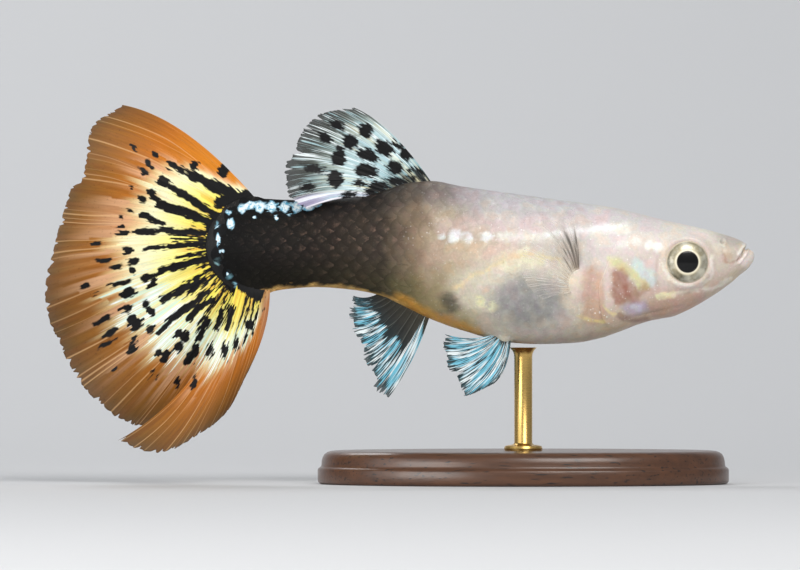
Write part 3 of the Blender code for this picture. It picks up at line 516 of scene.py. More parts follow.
def skin_paint(d, h):
    """Colour of the skin at places on the fish, with its painted highlights, glints and shade, its patches'
    edges frayed and clouded.
    """
    along = d + 0.5 * cloud(d, h, 0.9, 1)
    back, side, belly = (ramp(GROUND, along, column) for column in (1, 2, 3))
    level = side_level(d, h) + 0.05 * cloud(d, h, 0.8, 2)
    colour = blend(side, back, fade(level, 0.66, 0.96))
    colour = blend(colour, belly, fade(level, 0.42, 0.14))
    u = d + 0.16 * cloud(d, h, 0.55, 3) + 0.09 * cloud(d, h, 0.24, 4)
    w = h + 0.16 * cloud(d, h, 0.55, 5) + 0.09 * cloud(d, h, 0.24, 6)
    window = off_middle(u, w, *BELLY_WINDOW)
    silver = blend(np.tile(screen(SILVER_DARK), (len(d), 1)), screen(SILVER_PALE),
                   np.clip(0.40 + 0.28 * cloud(d, h, 0.6, 7) + 0.22 * cloud(d, h, 0.2, 8), 0, 1))
    grain = 0.86 + 0.14 * cloud(d, h, 0.15, 9)
    for n, (code, strength, half_width, soft, line) in enumerate(MARKS_AND_PAINTED_LIGHT):
        cover = strength * fade(from_line(u, w, line), half_width + soft, half_width)
        colour = blend(colour, screen(code), cover * grain if n else cover)
        if n == 0:
            colour = blend(colour, silver, 0.85 * fade(window, 1.05, 0.45))
    return colour


class Wire:
    """An output of a node, which sums and mixes can be written with."""

    def __init__(self, socket):
        self.socket = socket
        self.tree = socket.id_data

    def other(self, name):
        """Another output of the same node."""
        return Wire(self.socket.node.outputs[name])

    def into(self, socket):
        """Feeds a node's input."""
        self.tree.links.new(self.socket, socket)

    def __add__(self, other):
        return reckon("ADD", self, other)

    def __sub__(self, other):
        return reckon("SUBTRACT", self, other)

    def __rsub__(self, other):
        return reckon("SUBTRACT", other, self)

    def __mul__(self, other):
        return reckon("MULTIPLY", self, other)

    def rise(self, low, high):
        """Smooth step from 0 at low to 1 at high."""
        return node(self.tree, "ShaderNodeMapRange", {0: self, 1: low, 2: high},
                    interpolation_type="SMOOTHSTEP")

    def shaded(self, share):
        """A colour made lighter or darker by a share."""
        return node(self.tree, "ShaderNodeVectorMath", {0: self, 1: share}, operation="MULTIPLY")

    def mix(self, under, over, blend_type="MIX"):
        """One colour laid over another by this share."""
        return node(self.tree, "ShaderNodeMix", {0: self, 6: under, 7: over}, 2, data_type="RGBA",
                    blend_type=blend_type)

    def noise(self, scale, detail=2.0, roughness=0.5):
        """A cloudy pattern between 0 and 1 over these places."""
        return node(self.tree, "ShaderNodeTexNoise", {"Vector": self, "Scale": scale, "Detail": detail,
                                                      "Roughness": roughness}, "Fac")

    def colours(self, stops):
        """Colours along this value, from a list of (place, colour code)."""
        made = node(self.tree, "ShaderNodeValToRGB", {0: self})
        elements = made.socket.node.color_ramp.elements
        while len(elements) < len(stops):
            elements.new(0.5)
        for stop, (at, code) in zip(elements, stops):
            stop.position = at
            stop.color = dye(code)
        return made

    def emboss(self, strength, depth, socket):
        """Raises the surface of a shader by this height."""
        inputs = {"Strength": strength, "Distance": depth, "Height": self}
        node(self.tree, "ShaderNodeBump", inputs).into(socket)


def node(tree, kind, inputs=(), output=0, **settings):
    """An output of a new node, each of whose inputs is given a value or another node's output."""
    made = tree.nodes.new(kind)
    for name, value in settings.items():
        setattr(made, name, value)
    for socket, value in dict(inputs).items():
        if isinstance(value, Wire):
            value.into(made.inputs[socket])
        else:
            made.inputs[socket].default_value = value
    return Wire(made.outputs[output])


def reckon(operation, *values):
    """Result of a sum on numbers and wires."""
    tree = next(value.tree for value in values if isinstance(value, Wire))
    return node(tree, "ShaderNodeMath", enumerate(values), operation=operation)


def dye(code):
    """A screen colour's code as a node's colour."""
    return (*screen(code), 1.0)


def held(tree, name, output="Fac"):
    """A value or colour stored on the piece's own vertices."""
    return node(tree, "ShaderNodeAttribute", output=output, attribute_name=name)


def own_places(tree):
    """Places on the piece, in its own coordinates."""
    return node(tree, "ShaderNodeTexCoord", output="Object")


def node_group(name, kind, inputs, outputs):
    """A new node group with named inputs and outputs: its tree, its inputs' wires and its outputs."""
    tree = bpy.data.node_groups.new(name, kind)
    for label, socket, *value in inputs:
        made = tree.interface.new_socket(label, in_out="INPUT", socket_type=socket)
        if value:
            made.default_value = value[0]
    for label, socket in outputs:
        tree.interface.new_socket(label, in_out="OUTPUT", socket_type=socket)
    given = {socket.name: Wire(socket) for socket in tree.nodes.new("NodeGroupInput").outputs}
    return tree, given, tree.nodes.new("NodeGroupOutput").inputs


def finish(name, **values):
    """A new material, its node tree and its shader's inputs, with the shader's plain values."""
    made = bpy.data.materials.new(name)
    made.use_nodes = True
    shader = made.node_tree.nodes["Principled BSDF"].inputs
    for socket, value in values.items():
        shader[socket.replace("_", " ")].default_value = value
    return made, made.node_tree, shader


FLOAT, COLOUR = "NodeSocketFloat", "NodeSocketColor"
WHITE = (1.0, 1.0, 1.0, 1.0)

# Pearly skin: a soft mottle and a finer grain, a slow drift of pastel tints, tiny bright glints, and fine
# dark flecks where the back is dusky
PASTELS = ((0.32, "ffdfe2"), (0.44, "efeaff"), (0.54, "e4fbf4"), (0.64, "fff4da"))
GLINT_WHITE, FLECK_BROWN = "fffdf8", "6f6660"

pearl, given, out = node_group(
    "pearly_skin", "ShaderNodeTree",
    (("Paint", COLOUR, WHITE), ("Flecks", FLOAT, 0.5), ("Glints", FLOAT, 0.2), ("Mottle", FLOAT, 0.2),
     ("Tint", FLOAT, 0.25)),
    (("Colour", COLOUR), ("Height", FLOAT)),
)
place = own_places(pearl)
uneven = place.noise(1300.0, 3.0, 0.6) * 0.6 + place.noise(5200.0, 3.0, 0.7) * 0.6
toned = given["Paint"].shaded((uneven - 0.6) * given["Mottle"] + 1.0)
toned = given["Tint"].mix(toned, place.noise(900.0, 3.0, 0.6).colours(PASTELS), "MULTIPLY")
crystal = node(pearl, "ShaderNodeTexVoronoi", {"Vector": place, "Scale": 5600.0}, "Distance")
lucky = node(pearl, "ShaderNodeSeparateColor", {0: crystal.other("Color")})
glint = lucky.rise(0.80, 0.95) * (1.0 - crystal.rise(0.15, 0.50)) * given["Glints"]
toned = glint.mix(toned, dye(GLINT_WHITE))
dots = node(pearl, "ShaderNodeTexVoronoi", {"Vector": place, "Scale": 7000.0}, "Distance")
dot = (1.0 - dots.rise(0.08, 0.34)) * given["Flecks"] * place.noise(1100.0).rise(0.40, 0.66)
dot.mix(toned, dye(FLECK_BROWN)).into(out["Colour"])
(uneven - dot).into(out["Height"])

FLESH_DEPTH = (0.0006, 0.00035, 0.00022)
GRAIN_DEPTH = 0.00003


def pearly_finish(name, roughness, specular, flesh, mottle, tint, relief):
    """A material of pearly skin, the wire of its colour and its shader's inputs."""
    made, tree, shader = finish(name, Roughness=roughness, Coat_Weight=0.20, Coat_Roughness=0.28,
                                Specular_IOR_Level=specular, Subsurface_Weight=flesh,
                                Subsurface_Scale=1.0, Subsurface_Radius=FLESH_DEPTH)
    colour = node(tree, "ShaderNodeGroup", {
        "Paint": held(tree, "paint", "Color"), "Flecks": held(tree, "flecks"),
        "Glints": held(tree, "glints"), "Mottle": mottle, "Tint": tint,
    }, "Colour", node_tree=pearl)
    held(tree, "shine").into(shader["Metallic"])
    held(tree, "wet").into(shader["Coat Weight"])
    colour.other("Height").emboss(relief, GRAIN_DEPTH, shader["Normal"])
    return made, colour, shader


def paint_flesh(piece, fleck_share=1.0):
    """Stores the skin's markings on a piece, and how wet, silvery, flecked and glinting it is."""
    d, y, h = fish_places(piece)
    give(piece, "wet", 0.20 - 0.18 * fade(d, 24, 32))
    give(piece, "paint", skin_paint(d, h))
    silver = (1 - ease(off_middle(d, h, *BELLY_WINDOW))) + (1 - ease(off_middle(d, h, *GILL_COVER)))
    give(piece, "shine", 0.05 + 0.12 * silver)
    flecks = (0.10 + 0.50 * fade(side_level(d, h), 0.6, 0.95)) * (0.4 + 0.6 * fade(d, 8, 16))
    give(piece, "flecks", fleck_share * flecks)
    flank = bump(h - 1.2, 0.9) * fade(d, 9, 12)
    cheek, throat = (bump(off_middle(d, h, *patch), 1.0) for patch in (CHEEK, THROAT))
    glints = np.clip(0.16 + 0.6 * flank + 0.5 * cheek + 0.9 * throat, 0, 1)
    give(piece, "glints", glints * (1 - 0.97 * fade(d, 23, 29)))


skin_finish, colour, shader = pearly_finish("pearl_skin", roughness=0.48, specular=0.22, flesh=0.20,
                                            mottle=0.42, tint=0.30, relief=0.4)
colour.into(shader["Base Color"])
skin.data.materials.append(skin_finish)
paint_flesh(skin)
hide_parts("head", "torso", "tail_stalk")
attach(skin, "root")


# Scales
# Thin overlapping plates in staggered rows behind the gill cover, each rooted in front and free behind,
# from the nape to the sheath round the tail rays. Resin, each laid on the skin by Geometry Nodes.

SCALE_PITCH = 1.08
ROWS_PER_SIDE = 13
SCALES_FROM = 12.75
PLATE_STEPS = (4, 10)
PLATE_ROOT = -0.50
PLATE_REAR = 0.98
PLATE_REAR_CURVE = 0.62
PLATE_ROUNDNESS = 0.7
PLATE_HALF_WIDTH = 1.02
PLATE_ROOT_WIDTH = 0.62
PLATE_WIDEST = 0.45
PLATE_TAPER = 0.06
PLATE_SINK = 0.004
PLATE_RISE = 0.024
PLATE_THICKNESS = 0.011
SCALES_TO = STALK_END + 0.35
UV_PATCH = 0.003
SCALE_SEED = 7
SCALE_JITTER, SCALE_JITTER_TURN = 0.05, 0.015
# How much of their full rise the scales have, and how dark their edges are, each as distances behind the
# jaw tip and shares there
SCALE_RELIEF = ((12, 18, 26, 32, 42), (0.15, 0.18, 0.30, 0.5, 0.8))
NET_DARKNESS = ((12, 17, 21, 25, 29, 38, 42.7), (0.0, 0.03, 0.06, 0.15, 0.30, 0.40, 0.3))
# Black ground along the stalk's upper edge and round its end
BLUE_BAND = ((34.6, 3.45), (38.5, 3.45), (40.2, 3.1), (41.2, 2.1), (41.8, 0.7), (41.6, -1.2), (40.2, -3.2))
BLUE_REACH, BLUE_END, BLUE_GROUND = 0.40, 0.90, 0.7
GLINT_BROWN, NETTING, GROUND_BLACK = "806658", "5a4c42", "0b0d0f"
SPOT_BLUE, SPOT_WHITE = "5fb0d0", "f8ffff"
# Blue-white patches on it: (distance, height) of the middle, half length and half height
BLUE_SPOTS = (
    (33.9, 3.50, 0.30, 0.20), (34.67, 3.40, 0.50, 0.48),
    (35.62, 3.36, 0.44, 0.60), (36.56, 3.36, 0.44, 0.58),
    (37.56, 3.38, 0.43, 0.60), (38.49, 3.34, 0.45, 0.60),
    (39.28, 3.50, 0.35, 0.42), (39.90, 3.22, 0.38, 0.52),
    (40.97, 2.95, 0.30, 0.28), (40.75, 2.05, 0.38, 0.62),
    (41.90, 2.00, 0.32, 0.50), (41.74, 0.80, 0.24, 0.70),
    (41.45, -0.10, 0.26, 0.26), (37.23, 2.50, 0.20, 0.34),
    (36.1, 2.72, 0.22, 0.16), (38.9, 2.55, 0.18, 0.16),
    (42.06, -1.32, 0.20, 0.12), (41.00, -1.84, 0.20, 0.16),
    (40.05, -2.91, 0.28, 0.30), (39.68, -3.66, 0.28, 0.14),
)


def row_turns(t, fractions):
    """Turns round ring t that part its half girth, back to belly, at these fractions of its length."""
    fine = np.linspace(math.pi / 2, -math.pi / 2, 400)
    places = np.stack(skin_point(np.full(len(fine), t), fine), -1)
    length = np.concatenate([[0], np.cumsum(np.linalg.norm(np.diff(places, axis=0), axis=1))])
    return np.interp(fractions * length[-1], length, fine), length[-1]


def rim_pairs(steps, count):
    """Neighbours round the rim of a sheet, which has a row of this many vertices before each step."""
    rim = list(range(count)) + [k * count + count - 1 for k in range(1, steps + 1)]
    rim += [steps * count + i for i in range(count - 2, -1, -1)]
    rim += [k * count for k in range(steps - 1, 0, -1)]
    return zip(rim, rim[1:] + rim[:1])


def plate_template():
    """One scale, flat: 1 long between rows of scales, its half width 1, its root towards -x."""
    columns, rows = PLATE_STEPS
    under, u, s = (grid.ravel() for grid in np.meshgrid(
        (0.0, 1.0), np.arange(columns + 1) / columns, 2 * np.arange(rows + 1) / rows - 1, indexing="ij"))
    rear = PLATE_REAR - PLATE_REAR_CURVE * (PLATE_ROUNDNESS * s ** 2 + (1 - PLATE_ROUNDNESS) * s ** 4)
    spread = PLATE_ROOT_WIDTH + (1 - PLATE_ROOT_WIDTH) * ease(u / PLATE_WIDEST) - PLATE_TAPER * u ** 2
    vertices = np.stack([PLATE_ROOT + u * (rear - PLATE_ROOT), s * PLATE_HALF_WIDTH * spread, 0 * u], -1)
    wide, layer = rows + 1, (columns + 1) * (rows + 1)
    corners = [i * wide + j for i in range(columns) for j in range(rows)]
    faces = [[a, a + wide, a + wide + 1, a + 1] for a in corners]
    faces += [[v + layer for v in face[::-1]] for face in faces]
    faces += [[a, b, b + layer, a + layer] for a, b in rim_pairs(columns, wide)]
    template = mesh_piece("scale_template", vertices, faces)
    for name, values in (("back", u), ("side", s), ("under", under)):
        give(template, name, values)
    return template


def skin_run(t, turn, step_t, step_turn):
    """Way on the skin, in the world's axes, that a step of the ring and one of the turn lead."""
    ahead, behind = (np.stack(skin_point(t + n * step_t, turn + n * step_turn), -1) for n in (1, -1))
    return (ahead - behind) * (-1, 1, 1)


chance = np.random.default_rng(SCALE_SEED)
roots = []
for k, t in enumerate(np.arange(SCALES_FROM, SCALES_TO, SCALE_PITCH / 2)):
    fractions = np.arange(k % 2, ROWS_PER_SIDE + 1, 2) / ROWS_PER_SIDE
    turned, half_girth = row_turns(t, fractions)
    for turn, fraction in zip(turned, fractions):
        for way in [turn] if fraction in (0.0, 1.0) else [turn, math.pi - turn]:
            roots.append((t, way, half_girth / ROWS_PER_SIDE))
root_t, root_turn, spacing = np.array(roots).T
root_t = root_t + chance.uniform(-SCALE_JITTER, SCALE_JITTER, len(root_t))
root_turn = root_turn + chance.uniform(-SCALE_JITTER_TURN, SCALE_JITTER_TURN, len(root_t))
here = np.stack(skin_point(root_t, root_turn), -1)
rearward = skin_run(root_t, root_turn, 0.15, 0)
upward = np.cross(rearward, skin_run(root_t, root_turn, 0, 0.02))
upward *= np.sign(np.sum(upward * (here * (0, 1, 1) + (0, 0, 1)), -1, keepdims=True))
plate_size = np.stack([np.full(len(spacing), SCALE_PITCH), spacing, np.ones(len(spacing))], -1) * MM
scales = mesh_piece("body_scales", world(*here.T), [])
give(scales, "rearward", unit(rearward), "FLOAT_VECTOR")
give(scales, "upward", unit(upward), "FLOAT_VECTOR")
give(scales, "plate_size", plate_size, "FLOAT_VECTOR")
give(scales, "chance", chance.uniform(0, 1, len(root_t)))
off_blue = from_line(here[:, 0], here[:, 2], BLUE_BAND)
give(scales, "blue_ground", BLUE_GROUND * fade(off_blue, BLUE_END, BLUE_REACH))
give(scales, "relief", np.interp(here[:, 0], *SCALE_RELIEF))
give(scales, "root_u", root_t / (STALK_END + SHEATH))
give(scales, "root_v", (root_turn / (2 * math.pi)) % 1.0)

tree, given, out = node_group(
    "scales_on_skin", "GeometryNodeTree",
    (("Roots", "NodeSocketGeometry"), ("Plate", "NodeSocketObject"), ("Skin", "NodeSocketObject"),
     ("Sink", FLOAT), ("Rise", FLOAT), ("Thickness", FLOAT), ("Patch", FLOAT),
     ("Finish", "NodeSocketMaterial")),
    (("Scales", "NodeSocketGeometry"),),
)


def stored(name, kind="FLOAT"):
    """A named value read from the points or the plate."""
    return node(tree, "GeometryNodeInputNamedAttribute", {"Name": name}, data_type=kind)


turned = node(tree, "FunctionNodeAxesToRotation",
              {0: stored("rearward", "FLOAT_VECTOR"), 1: stored("upward", "FLOAT_VECTOR")},
              primary_axis="X", secondary_axis="Z")
plate = node(tree, "GeometryNodeObjectInfo", {"Object": given["Plate"]}, "Geometry")
placed = node(tree, "GeometryNodeInstanceOnPoints",
              {"Points": given["Roots"], "Instance": plate, "Rotation": turned,
               "Scale": stored("plate_size", "FLOAT_VECTOR")})
solid = node(tree, "GeometryNodeRealizeInstances", {0: placed})
body = node(tree, "GeometryNodeObjectInfo", {"Object": given["Skin"]}, "Geometry",
            transform_space="RELATIVE")
nearest = node(tree, "GeometryNodeProximity", {0: body}, "Position", target_element="FACES")
normal = node(tree, "GeometryNodeInputNormal")
off_skin = node(tree, "GeometryNodeSampleNearestSurface", {0: body, "Value": normal}, "Value",
                data_type="FLOAT_VECTOR")
lift = stored("back") * (given["Rise"] * stored("relief") + given["Sink"])
lift = lift - given["Sink"] - stored("under") * given["Thickness"]
raised = node(tree, "ShaderNodeVectorMath", {0: off_skin, 3: lift}, operation="SCALE")
laid = node(tree, "ShaderNodeVectorMath", {0: nearest, 1: raised}, operation="ADD")
solid = node(tree, "GeometryNodeSetPosition", {"Geometry": solid, "Position": laid})
patch = node(tree, "ShaderNodeCombineXYZ", {0: stored("back") * given["Patch"] + stored("root_u"),
                                            1: stored("side") * given["Patch"] + stored("root_v")})
solid = node(tree, "GeometryNodeStoreNamedAttribute", {"Geometry": solid, "Name": "OFBake", "Value": patch},
             data_type="FLOAT2", domain="CORNER")
node(tree, "GeometryNodeSetMaterial", {"Geometry": solid, "Material": given["Finish"]}).into(out["Scales"])

# Netting: each scale is dark along its free edge, more so towards the tail, and on the stalk its middle is
# made paler by a painted warm brown glint. The blue-white patches are laid over both.
scale_finish, colour, shader = pearly_finish("scale_pearl", roughness=0.52, specular=0.10, flesh=0.12,
                                             mottle=0.50, tint=0.28, relief=0.35)
wet = colour.tree
place, side, net, inside = own_places(wet), held(wet, "side"), held(wet, "net"), held(wet, "blue")
wander = place.noise(3000.0, 3.0, 0.6) - 0.5
edge = 1.0 - (wander * 0.55 + (1.0 - held(wet, "back")) * (1.0 - side * side))
lit = colour.shaded((held(wet, "chance") - 0.5) * (net * 0.40 + 0.04) + 1.0)
streaky = place.noise(2400.0, 3.0, 0.65).rise(0.42, 0.70)
lit = ((1.0 - edge.rise(0.35, 0.85)) * held(wet, "middle_glint") * streaky).mix(lit, dye(GLINT_BROWN))
lit = (edge.rise(0.60, 1.05) * net).mix(lit, dye(NETTING), "MULTIPLY")
lit = held(wet, "blue_ground").mix(lit, dye(GROUND_BLACK))
frost = (inside.rise(0.10, 0.60) * 0.75 + 0.30) * place.noise(4200.0, 3.0, 0.6).rise(0.32, 0.56)
blue = frost.mix(dye(SPOT_BLUE), dye(SPOT_WHITE))
(wander * 0.25 + inside).rise(0.06, 0.30).mix(lit, blue).into(shader["Base Color"])

template = plate_template()
grow = scales.modifiers.new("Scales", "NODES")
grow.node_group = tree
inputs = {item.name: item.identifier for item in tree.interface.items_tree if item.in_out == "INPUT"}
for label, value in (("Plate", template), ("Skin", skin), ("Sink", PLATE_SINK * MM),
                     ("Rise", PLATE_RISE * MM), ("Thickness", PLATE_THICKNESS * MM), ("Patch", UV_PATCH),
                     ("Finish", scale_finish)):
    grow[inputs[label]] = value
graph = bpy.context.evaluated_depsgraph_get()
grown = bpy.data.meshes.new_from_object(scales.evaluated_get(graph))
scales.modifiers.clear()
scales.data = grown
bpy.data.objects.remove(template)
scales.data.shade_smooth()
scales.data.set_sharp_from_angle(angle=math.radians(50))


def inside_spots(d, h, spots):
    """How far inside the nearest spot a place lies: 1 at its middle, 0 at its edge and less outside."""
    most = np.full(len(d), -1.0)
    for d0, h0, half_long, half_high in spots:
        most = np.maximum(most, 1 - np.hypot((d - d0) / half_long, (h - h0) / half_high))
    return most


paint_flesh(scales, fleck_share=0.6)
d, y, h = fish_places(scales)
level = side_level(d, h)
pale_belly = fade(level, 0.67, 0.42) * fade(d, 28, 24)
on_stalk = fade(d, 23, 27) * fade(d, 41.5, 32.5)
give(scales, "net", np.interp(d, *NET_DARKNESS) * (1 - 0.85 * pale_belly))
# painted glint: how strongly the scales' middles along the stalk take the warm brown glint
give(scales, "middle_glint", 0.75 * on_stalk * (0.25 + 0.75 * bump(level - 0.60, 0.20)))
give(scales, "blue", inside_spots(d, h, BLUE_SPOTS))
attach(scales, "root")


# Eyes
# Glass eyes as a maker sets them: a shallow dome with a black pupil in a bright ring, a silver and gold
# iris darker at its edge, and a wet clear surface over all, pressed into the bowl of each socket.

EYE_AROUND = 72
EYE_ROWS = 36
PUPIL_SHARE = 0.80 / EYE_RADIUS
IRIS = (
    (PUPIL_SHARE - 0.015, "050506"), (PUPIL_SHARE + 0.015, "3a332c"), (0.515, "f2ead2"), (0.56, "efe6cc"),
    (0.61, "cfc3a2"), (0.70, "b9ae8f"), (0.80, "bdb497"), (0.88, "a2977a"), (0.93, "d9cfb6"),
    (0.97, "c4b49e"), (1.0, "8a7868"),
)
IRIS_SILVER, IRIS_DUSK = "e6e2d0", "3b372a"
# Dusky sectors of the iris, as (degrees up from the tail side, half width in degrees, strength)
IRIS_SECTORS = ((170, 34, 0.75), (238, 30, 0.90), (300, 26, 0.65), (350, 26, 0.75), (38, 20, 0.50))

glass, tree, shader = finish("eye_glass", Roughness=0.30, Coat_Weight=0.45, Coat_Roughness=0.03,
                             Specular_IOR_Level=0.15)
place, off_axis = own_places(tree), held(tree, "off_axis")
in_iris = off_axis.rise(0.57, 0.66) * (1.0 - off_axis.rise(0.90, 0.96))
silver = place.noise(1150.0, 3.0, 0.6).rise(0.38, 0.62) * in_iris * 0.8
cloudy = place.noise(1300.0, 3.0, 0.6) * 2.0 - 0.30
silvered = silver.mix(off_axis.colours(IRIS), dye(IRIS_SILVER))
(held(tree, "dusky") * cloudy * in_iris).mix(silvered, dye(IRIS_DUSK)).into(shader["Base Color"])
(in_iris * 0.35).into(shader["Metallic"])

# Both eyes alike, as rings round the axis and the two ends of it
dome = np.linspace(0, math.pi, EYE_ROWS + 1)[1:-1]
circle = np.linspace(0, 2 * math.pi, EYE_AROUND, endpoint=False)
tilt, turn = (grid.ravel() for grid in np.meshgrid(dome, circle, indexing="ij"))
off = np.concatenate([np.sin(tilt), [0.0, 0.0]]) * EYE_RADIUS
out_of = np.concatenate([np.cos(tilt), [1.0, -1.0]]) * EYE_HALF_DEPTH
turn = np.concatenate([turn, [0.0, 0.0]])
off_d, off_h = off * np.cos(turn), off * np.sin(turn)
last = (EYE_ROWS - 2) * EYE_AROUND
faces = tube_faces(EYE_ROWS - 1, EYE_AROUND)
faces += [[len(off) - 2, (i + 1) % EYE_AROUND, i] for i in range(EYE_AROUND)]
faces += [[len(off) - 1, last + i, last + (i + 1) % EYE_AROUND] for i in range(EYE_AROUND)]
degrees = np.degrees(np.arctan2(off_h, -off_d)) % 360
dusky = np.zeros(len(off))
for middle, half, strength in IRIS_SECTORS:
    apart = np.abs((degrees - middle + 180) % 360 - 180)
    dusky = np.maximum(dusky, strength * bump(apart, half))

for side, name in ((1, "eye_left"), (-1, "eye_right")):
    vertices = world(EYE_D + off_d, side * (EYE_Y + out_of + EYE_LEAN * off_d), EYE_H + off_h)
    eye = mesh_piece(name + "_glass", vertices, [face[::-side] for face in faces], glass)
    give(eye, "off_axis", off / EYE_RADIUS)
    give(eye, "dusky", dusky)
    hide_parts(name)
    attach(eye, "root")


# Tail fin
# A thin membrane stretched over forked bony rays, cast with its ridges and painted: a wide fan, and a
# lower lobe that folds over it to the fish's right. The roots are held in the scaled sheath.

FIN_SEED = 21
MEMBRANE = 0.09
ROOT_THICKNESS = 0.34
ROOT_FADE = 0.16
ROOT_SUNK = -0.5
TIP_THINNING = 0.45
RIDGE = 0.04
RAY_WANDER = 0.10
TIP_CROWDING = 0.92
# Share of the gaps between branches that are torn deeper, how deep those are and how deep the others are
NOTCHED_SHARE, DEEP_NOTCH, SHALLOW_NOTCH = 0.25, (0.8, 1.8), 0.25
# Where along a ray it starts to fork and where its branches are full apart, and how far, at both forks
FIRST_FORK, FIRST_APART = (0.28, 0.60), (0.06, 0.44)
SECOND_FORK, SECOND_APART = (0.56, 0.86), (0.03, 0.22)
# One ray's columns, as shares of half the distance to the next ray: the pair of branches on each side of
# its middle, the valleys between them, and the membrane up to the next ray
RAY_COLUMNS = ("edge", "web", "out", "pair", "in", "middle", "in", "pair", "out", "web")
FAN_RAYS = 22
FAN_ROWS = 96
LOBE_RAYS = 8
LOBE_ROWS = 84
TAIL_HUB = (40.4, 0.0)
STRIPS_PER_RAY = 4
# Black teeth on the rays at the root: how far along the fin they reach, and half their width in ray widths
TOOTH_REACH, TOOTH_WIDTH = (0.12, 0.42), 0.11
# Where the fan's upper margin is torn short, as a share across it, and how deep
TEAR_END, TEAR_DEPTH = 0.262, 0.045

ORANGE = ((0.0, "d5841c"), (0.35, "cf7c1a"), (0.60, "ba6b19"), (0.80, "98601f"), (0.92, "7c5526"),
          (1.0, "685133"))
YELLOW = ((0.0, "d8a02c"), (0.15, "efd84a"), (0.35, "f5ec66"), (0.58, "f4ee98"), (0.80, "f0ecc2"),
          (1.0, "ecd8a0"))
YELLOW_ENDS = ((0.0, 0.10), (0.06, 0.22), (0.12, 0.44), (0.2, 0.56), (0.4, 0.66), (0.6, 0.68), (0.8, 0.64),
               (1.0, 0.58))
LOBE_YELLOW_ENDS = ((0.0, 0.50), (0.7, 0.45), (0.9, 0.20), (1.0, 0.10))
# Width of the black crescent round the tail's root, on the fan and on the lobe
CRESCENT, LOBE_CRESCENT = 1.45, 0.95
MARK_BLACK, ICE_WHITE = "08080a", "f4fdff"
AMBER, RUST, PEACH, HIP_TAN = "dd9327", "7a4720", "edc4a0", "a9714c"
# How much the yellow bars differ in length, and the ripple of their ends
YELLOW_JITTER, YELLOW_RIPPLE, RIPPLES = 0.24, 0.05, 57
# Black streaks: (distance, height) of both ends and half width
STREAKS = (
    (40.7, 4.4, 42.4, 5.1, 0.47), (42.4, 5.1, 43.9, 5.9, 0.35), (43.9, 5.9, 45.6, 6.7, 0.25),
    (39.5, 4.2, 41.6, 3.65, 0.50),
    (41.8, 2.6, 45.3, 4.9, 0.33), (42.4, 2.2, 46.3, 3.6, 0.36), (46.3, 3.6, 47.0, 4.5, 0.28),
    (46.1, 2.0, 47.6, 2.7, 0.26), (42.8, 1.3, 45.5, 1.5, 0.28), (45.5, 1.5, 48.1, 1.4, 0.22),
    (42.8, 0.5, 45.6, 0.3, 0.27), (45.6, 0.3, 47.5, 0.1, 0.22), (42.9, -0.7, 46.2, -1.6, 0.31),
    (46.3, -1.7, 47.0, -2.7, 0.19), (42.7, -2.3, 46.1, -3.8, 0.28), (42.5, -3.2, 43.7, -4.2, 0.30),
    (43.7, -4.2, 45.3, -5.3, 0.26), (45.3, -5.3, 46.4, -6.5, 0.20), (42.2, -3.9, 43.3, -4.5, 0.26),
    (43.3, -4.5, 44.1, -5.4, 0.23), (42.6, -5.5, 43.3, -6.9, 0.31), (41.5, -4.7, 41.9, -6.1, 0.22),
    (40.7, -4.5, 41.0, -6.0, 0.28),
)
# Black spots: (distance, height) of the middle, then half the length along the rays and half the width
SPOTS = (
    (46.6, 7.4, 0.27, 0.19), (47.0, 6.6, 0.39, 0.17), (47.5, 6.1, 0.47, 0.23), (48.3, 7.9, 0.31, 0.12),
    (46.0, 5.3, 0.54, 0.39), (48.5, 4.8, 0.23, 0.12), (47.7, 3.9, 0.39, 0.31), (43.6, 6.6, 0.35, 0.35),
    (41.3, 6.2, 0.51, 0.47), (49.2, 1.8, 0.19, 0.14), (49.2, 1.4, 0.47, 0.23), (51.1, 0.5, 0.47, 0.19),
    (48.8, 0.0, 0.43, 0.31), (50.6, -0.8, 0.47, 0.19), (49.7, -1.3, 0.47, 0.23), (48.3, -0.9, 0.47, 0.27),
    (48.4, -1.6, 0.23, 0.31), (47.3, -2.1, 0.47, 0.27), (49.4, -2.6, 0.78, 0.22), (48.6, 3.0, 0.16, 0.08),
    (49.2, 2.5, 0.12, 0.08), (46.9, -2.7, 0.39, 0.27), (52.1, -2.8, 0.43, 0.22), (51.2, -3.6, 0.39, 0.22),
    (48.8, -3.3, 0.62, 0.43), (47.4, -4.2, 0.39, 0.31), (47.0, -4.8, 0.31, 0.35), (48.9, -4.5, 0.47, 0.30),
    (50.8, -5.5, 0.70, 0.25), (48.4, -5.4, 0.47, 0.47), (48.1, -5.8, 0.62, 0.35), (50.2, -6.5, 0.54, 0.26),
    (47.0, -6.2, 0.54, 0.31), (50.5, -7.3, 0.54, 0.16), (48.4, -6.9, 0.35, 0.23), (48.5, -7.7, 0.47, 0.31),
    (46.4, -8.0, 0.31, 0.27), (45.9, -8.3, 0.54, 0.31), (44.8, -6.5, 0.39, 0.39), (44.3, -6.8, 0.47, 0.39),
    (44.8, -7.5, 0.39, 0.31), (44.0, -8.4, 0.70, 0.39), (43.5, -7.8, 0.54, 0.31), (42.4, -7.9, 0.54, 0.27),
    (41.2, -7.8, 0.70, 0.27), (40.3, -7.3, 0.54, 0.27), (39.3, -5.8, 0.39, 0.39), (43.6, -10.3, 0.47, 0.23),
    (45.0, -10.3, 0.39, 0.23), (46.9, -9.5, 0.31, 0.14), (46.4, -9.8, 0.31, 0.14), (49.9, -9.3, 0.31, 0.12),
)


def ray_place(keys, q, v):
    """Place on a fin, q from its first key ray to its last and v from root to tip."""
    at = np.linspace(0, 1, len(keys))
    key = np.stack([smooth(list(zip(at, column)), q) for column in zip(*keys)], -1)
    v = v[..., None]
    return key[..., 0:3] * (1 - v) ** 2 + key[..., 3:6] * 2 * v * (1 - v) + key[..., 6:9] * v * v


def forked(v, fork, apart):
    """Half the distance between two branches at places along them, as a share of a ray's half width."""
    return apart[0] + apart[1] * fade(v, *fork)


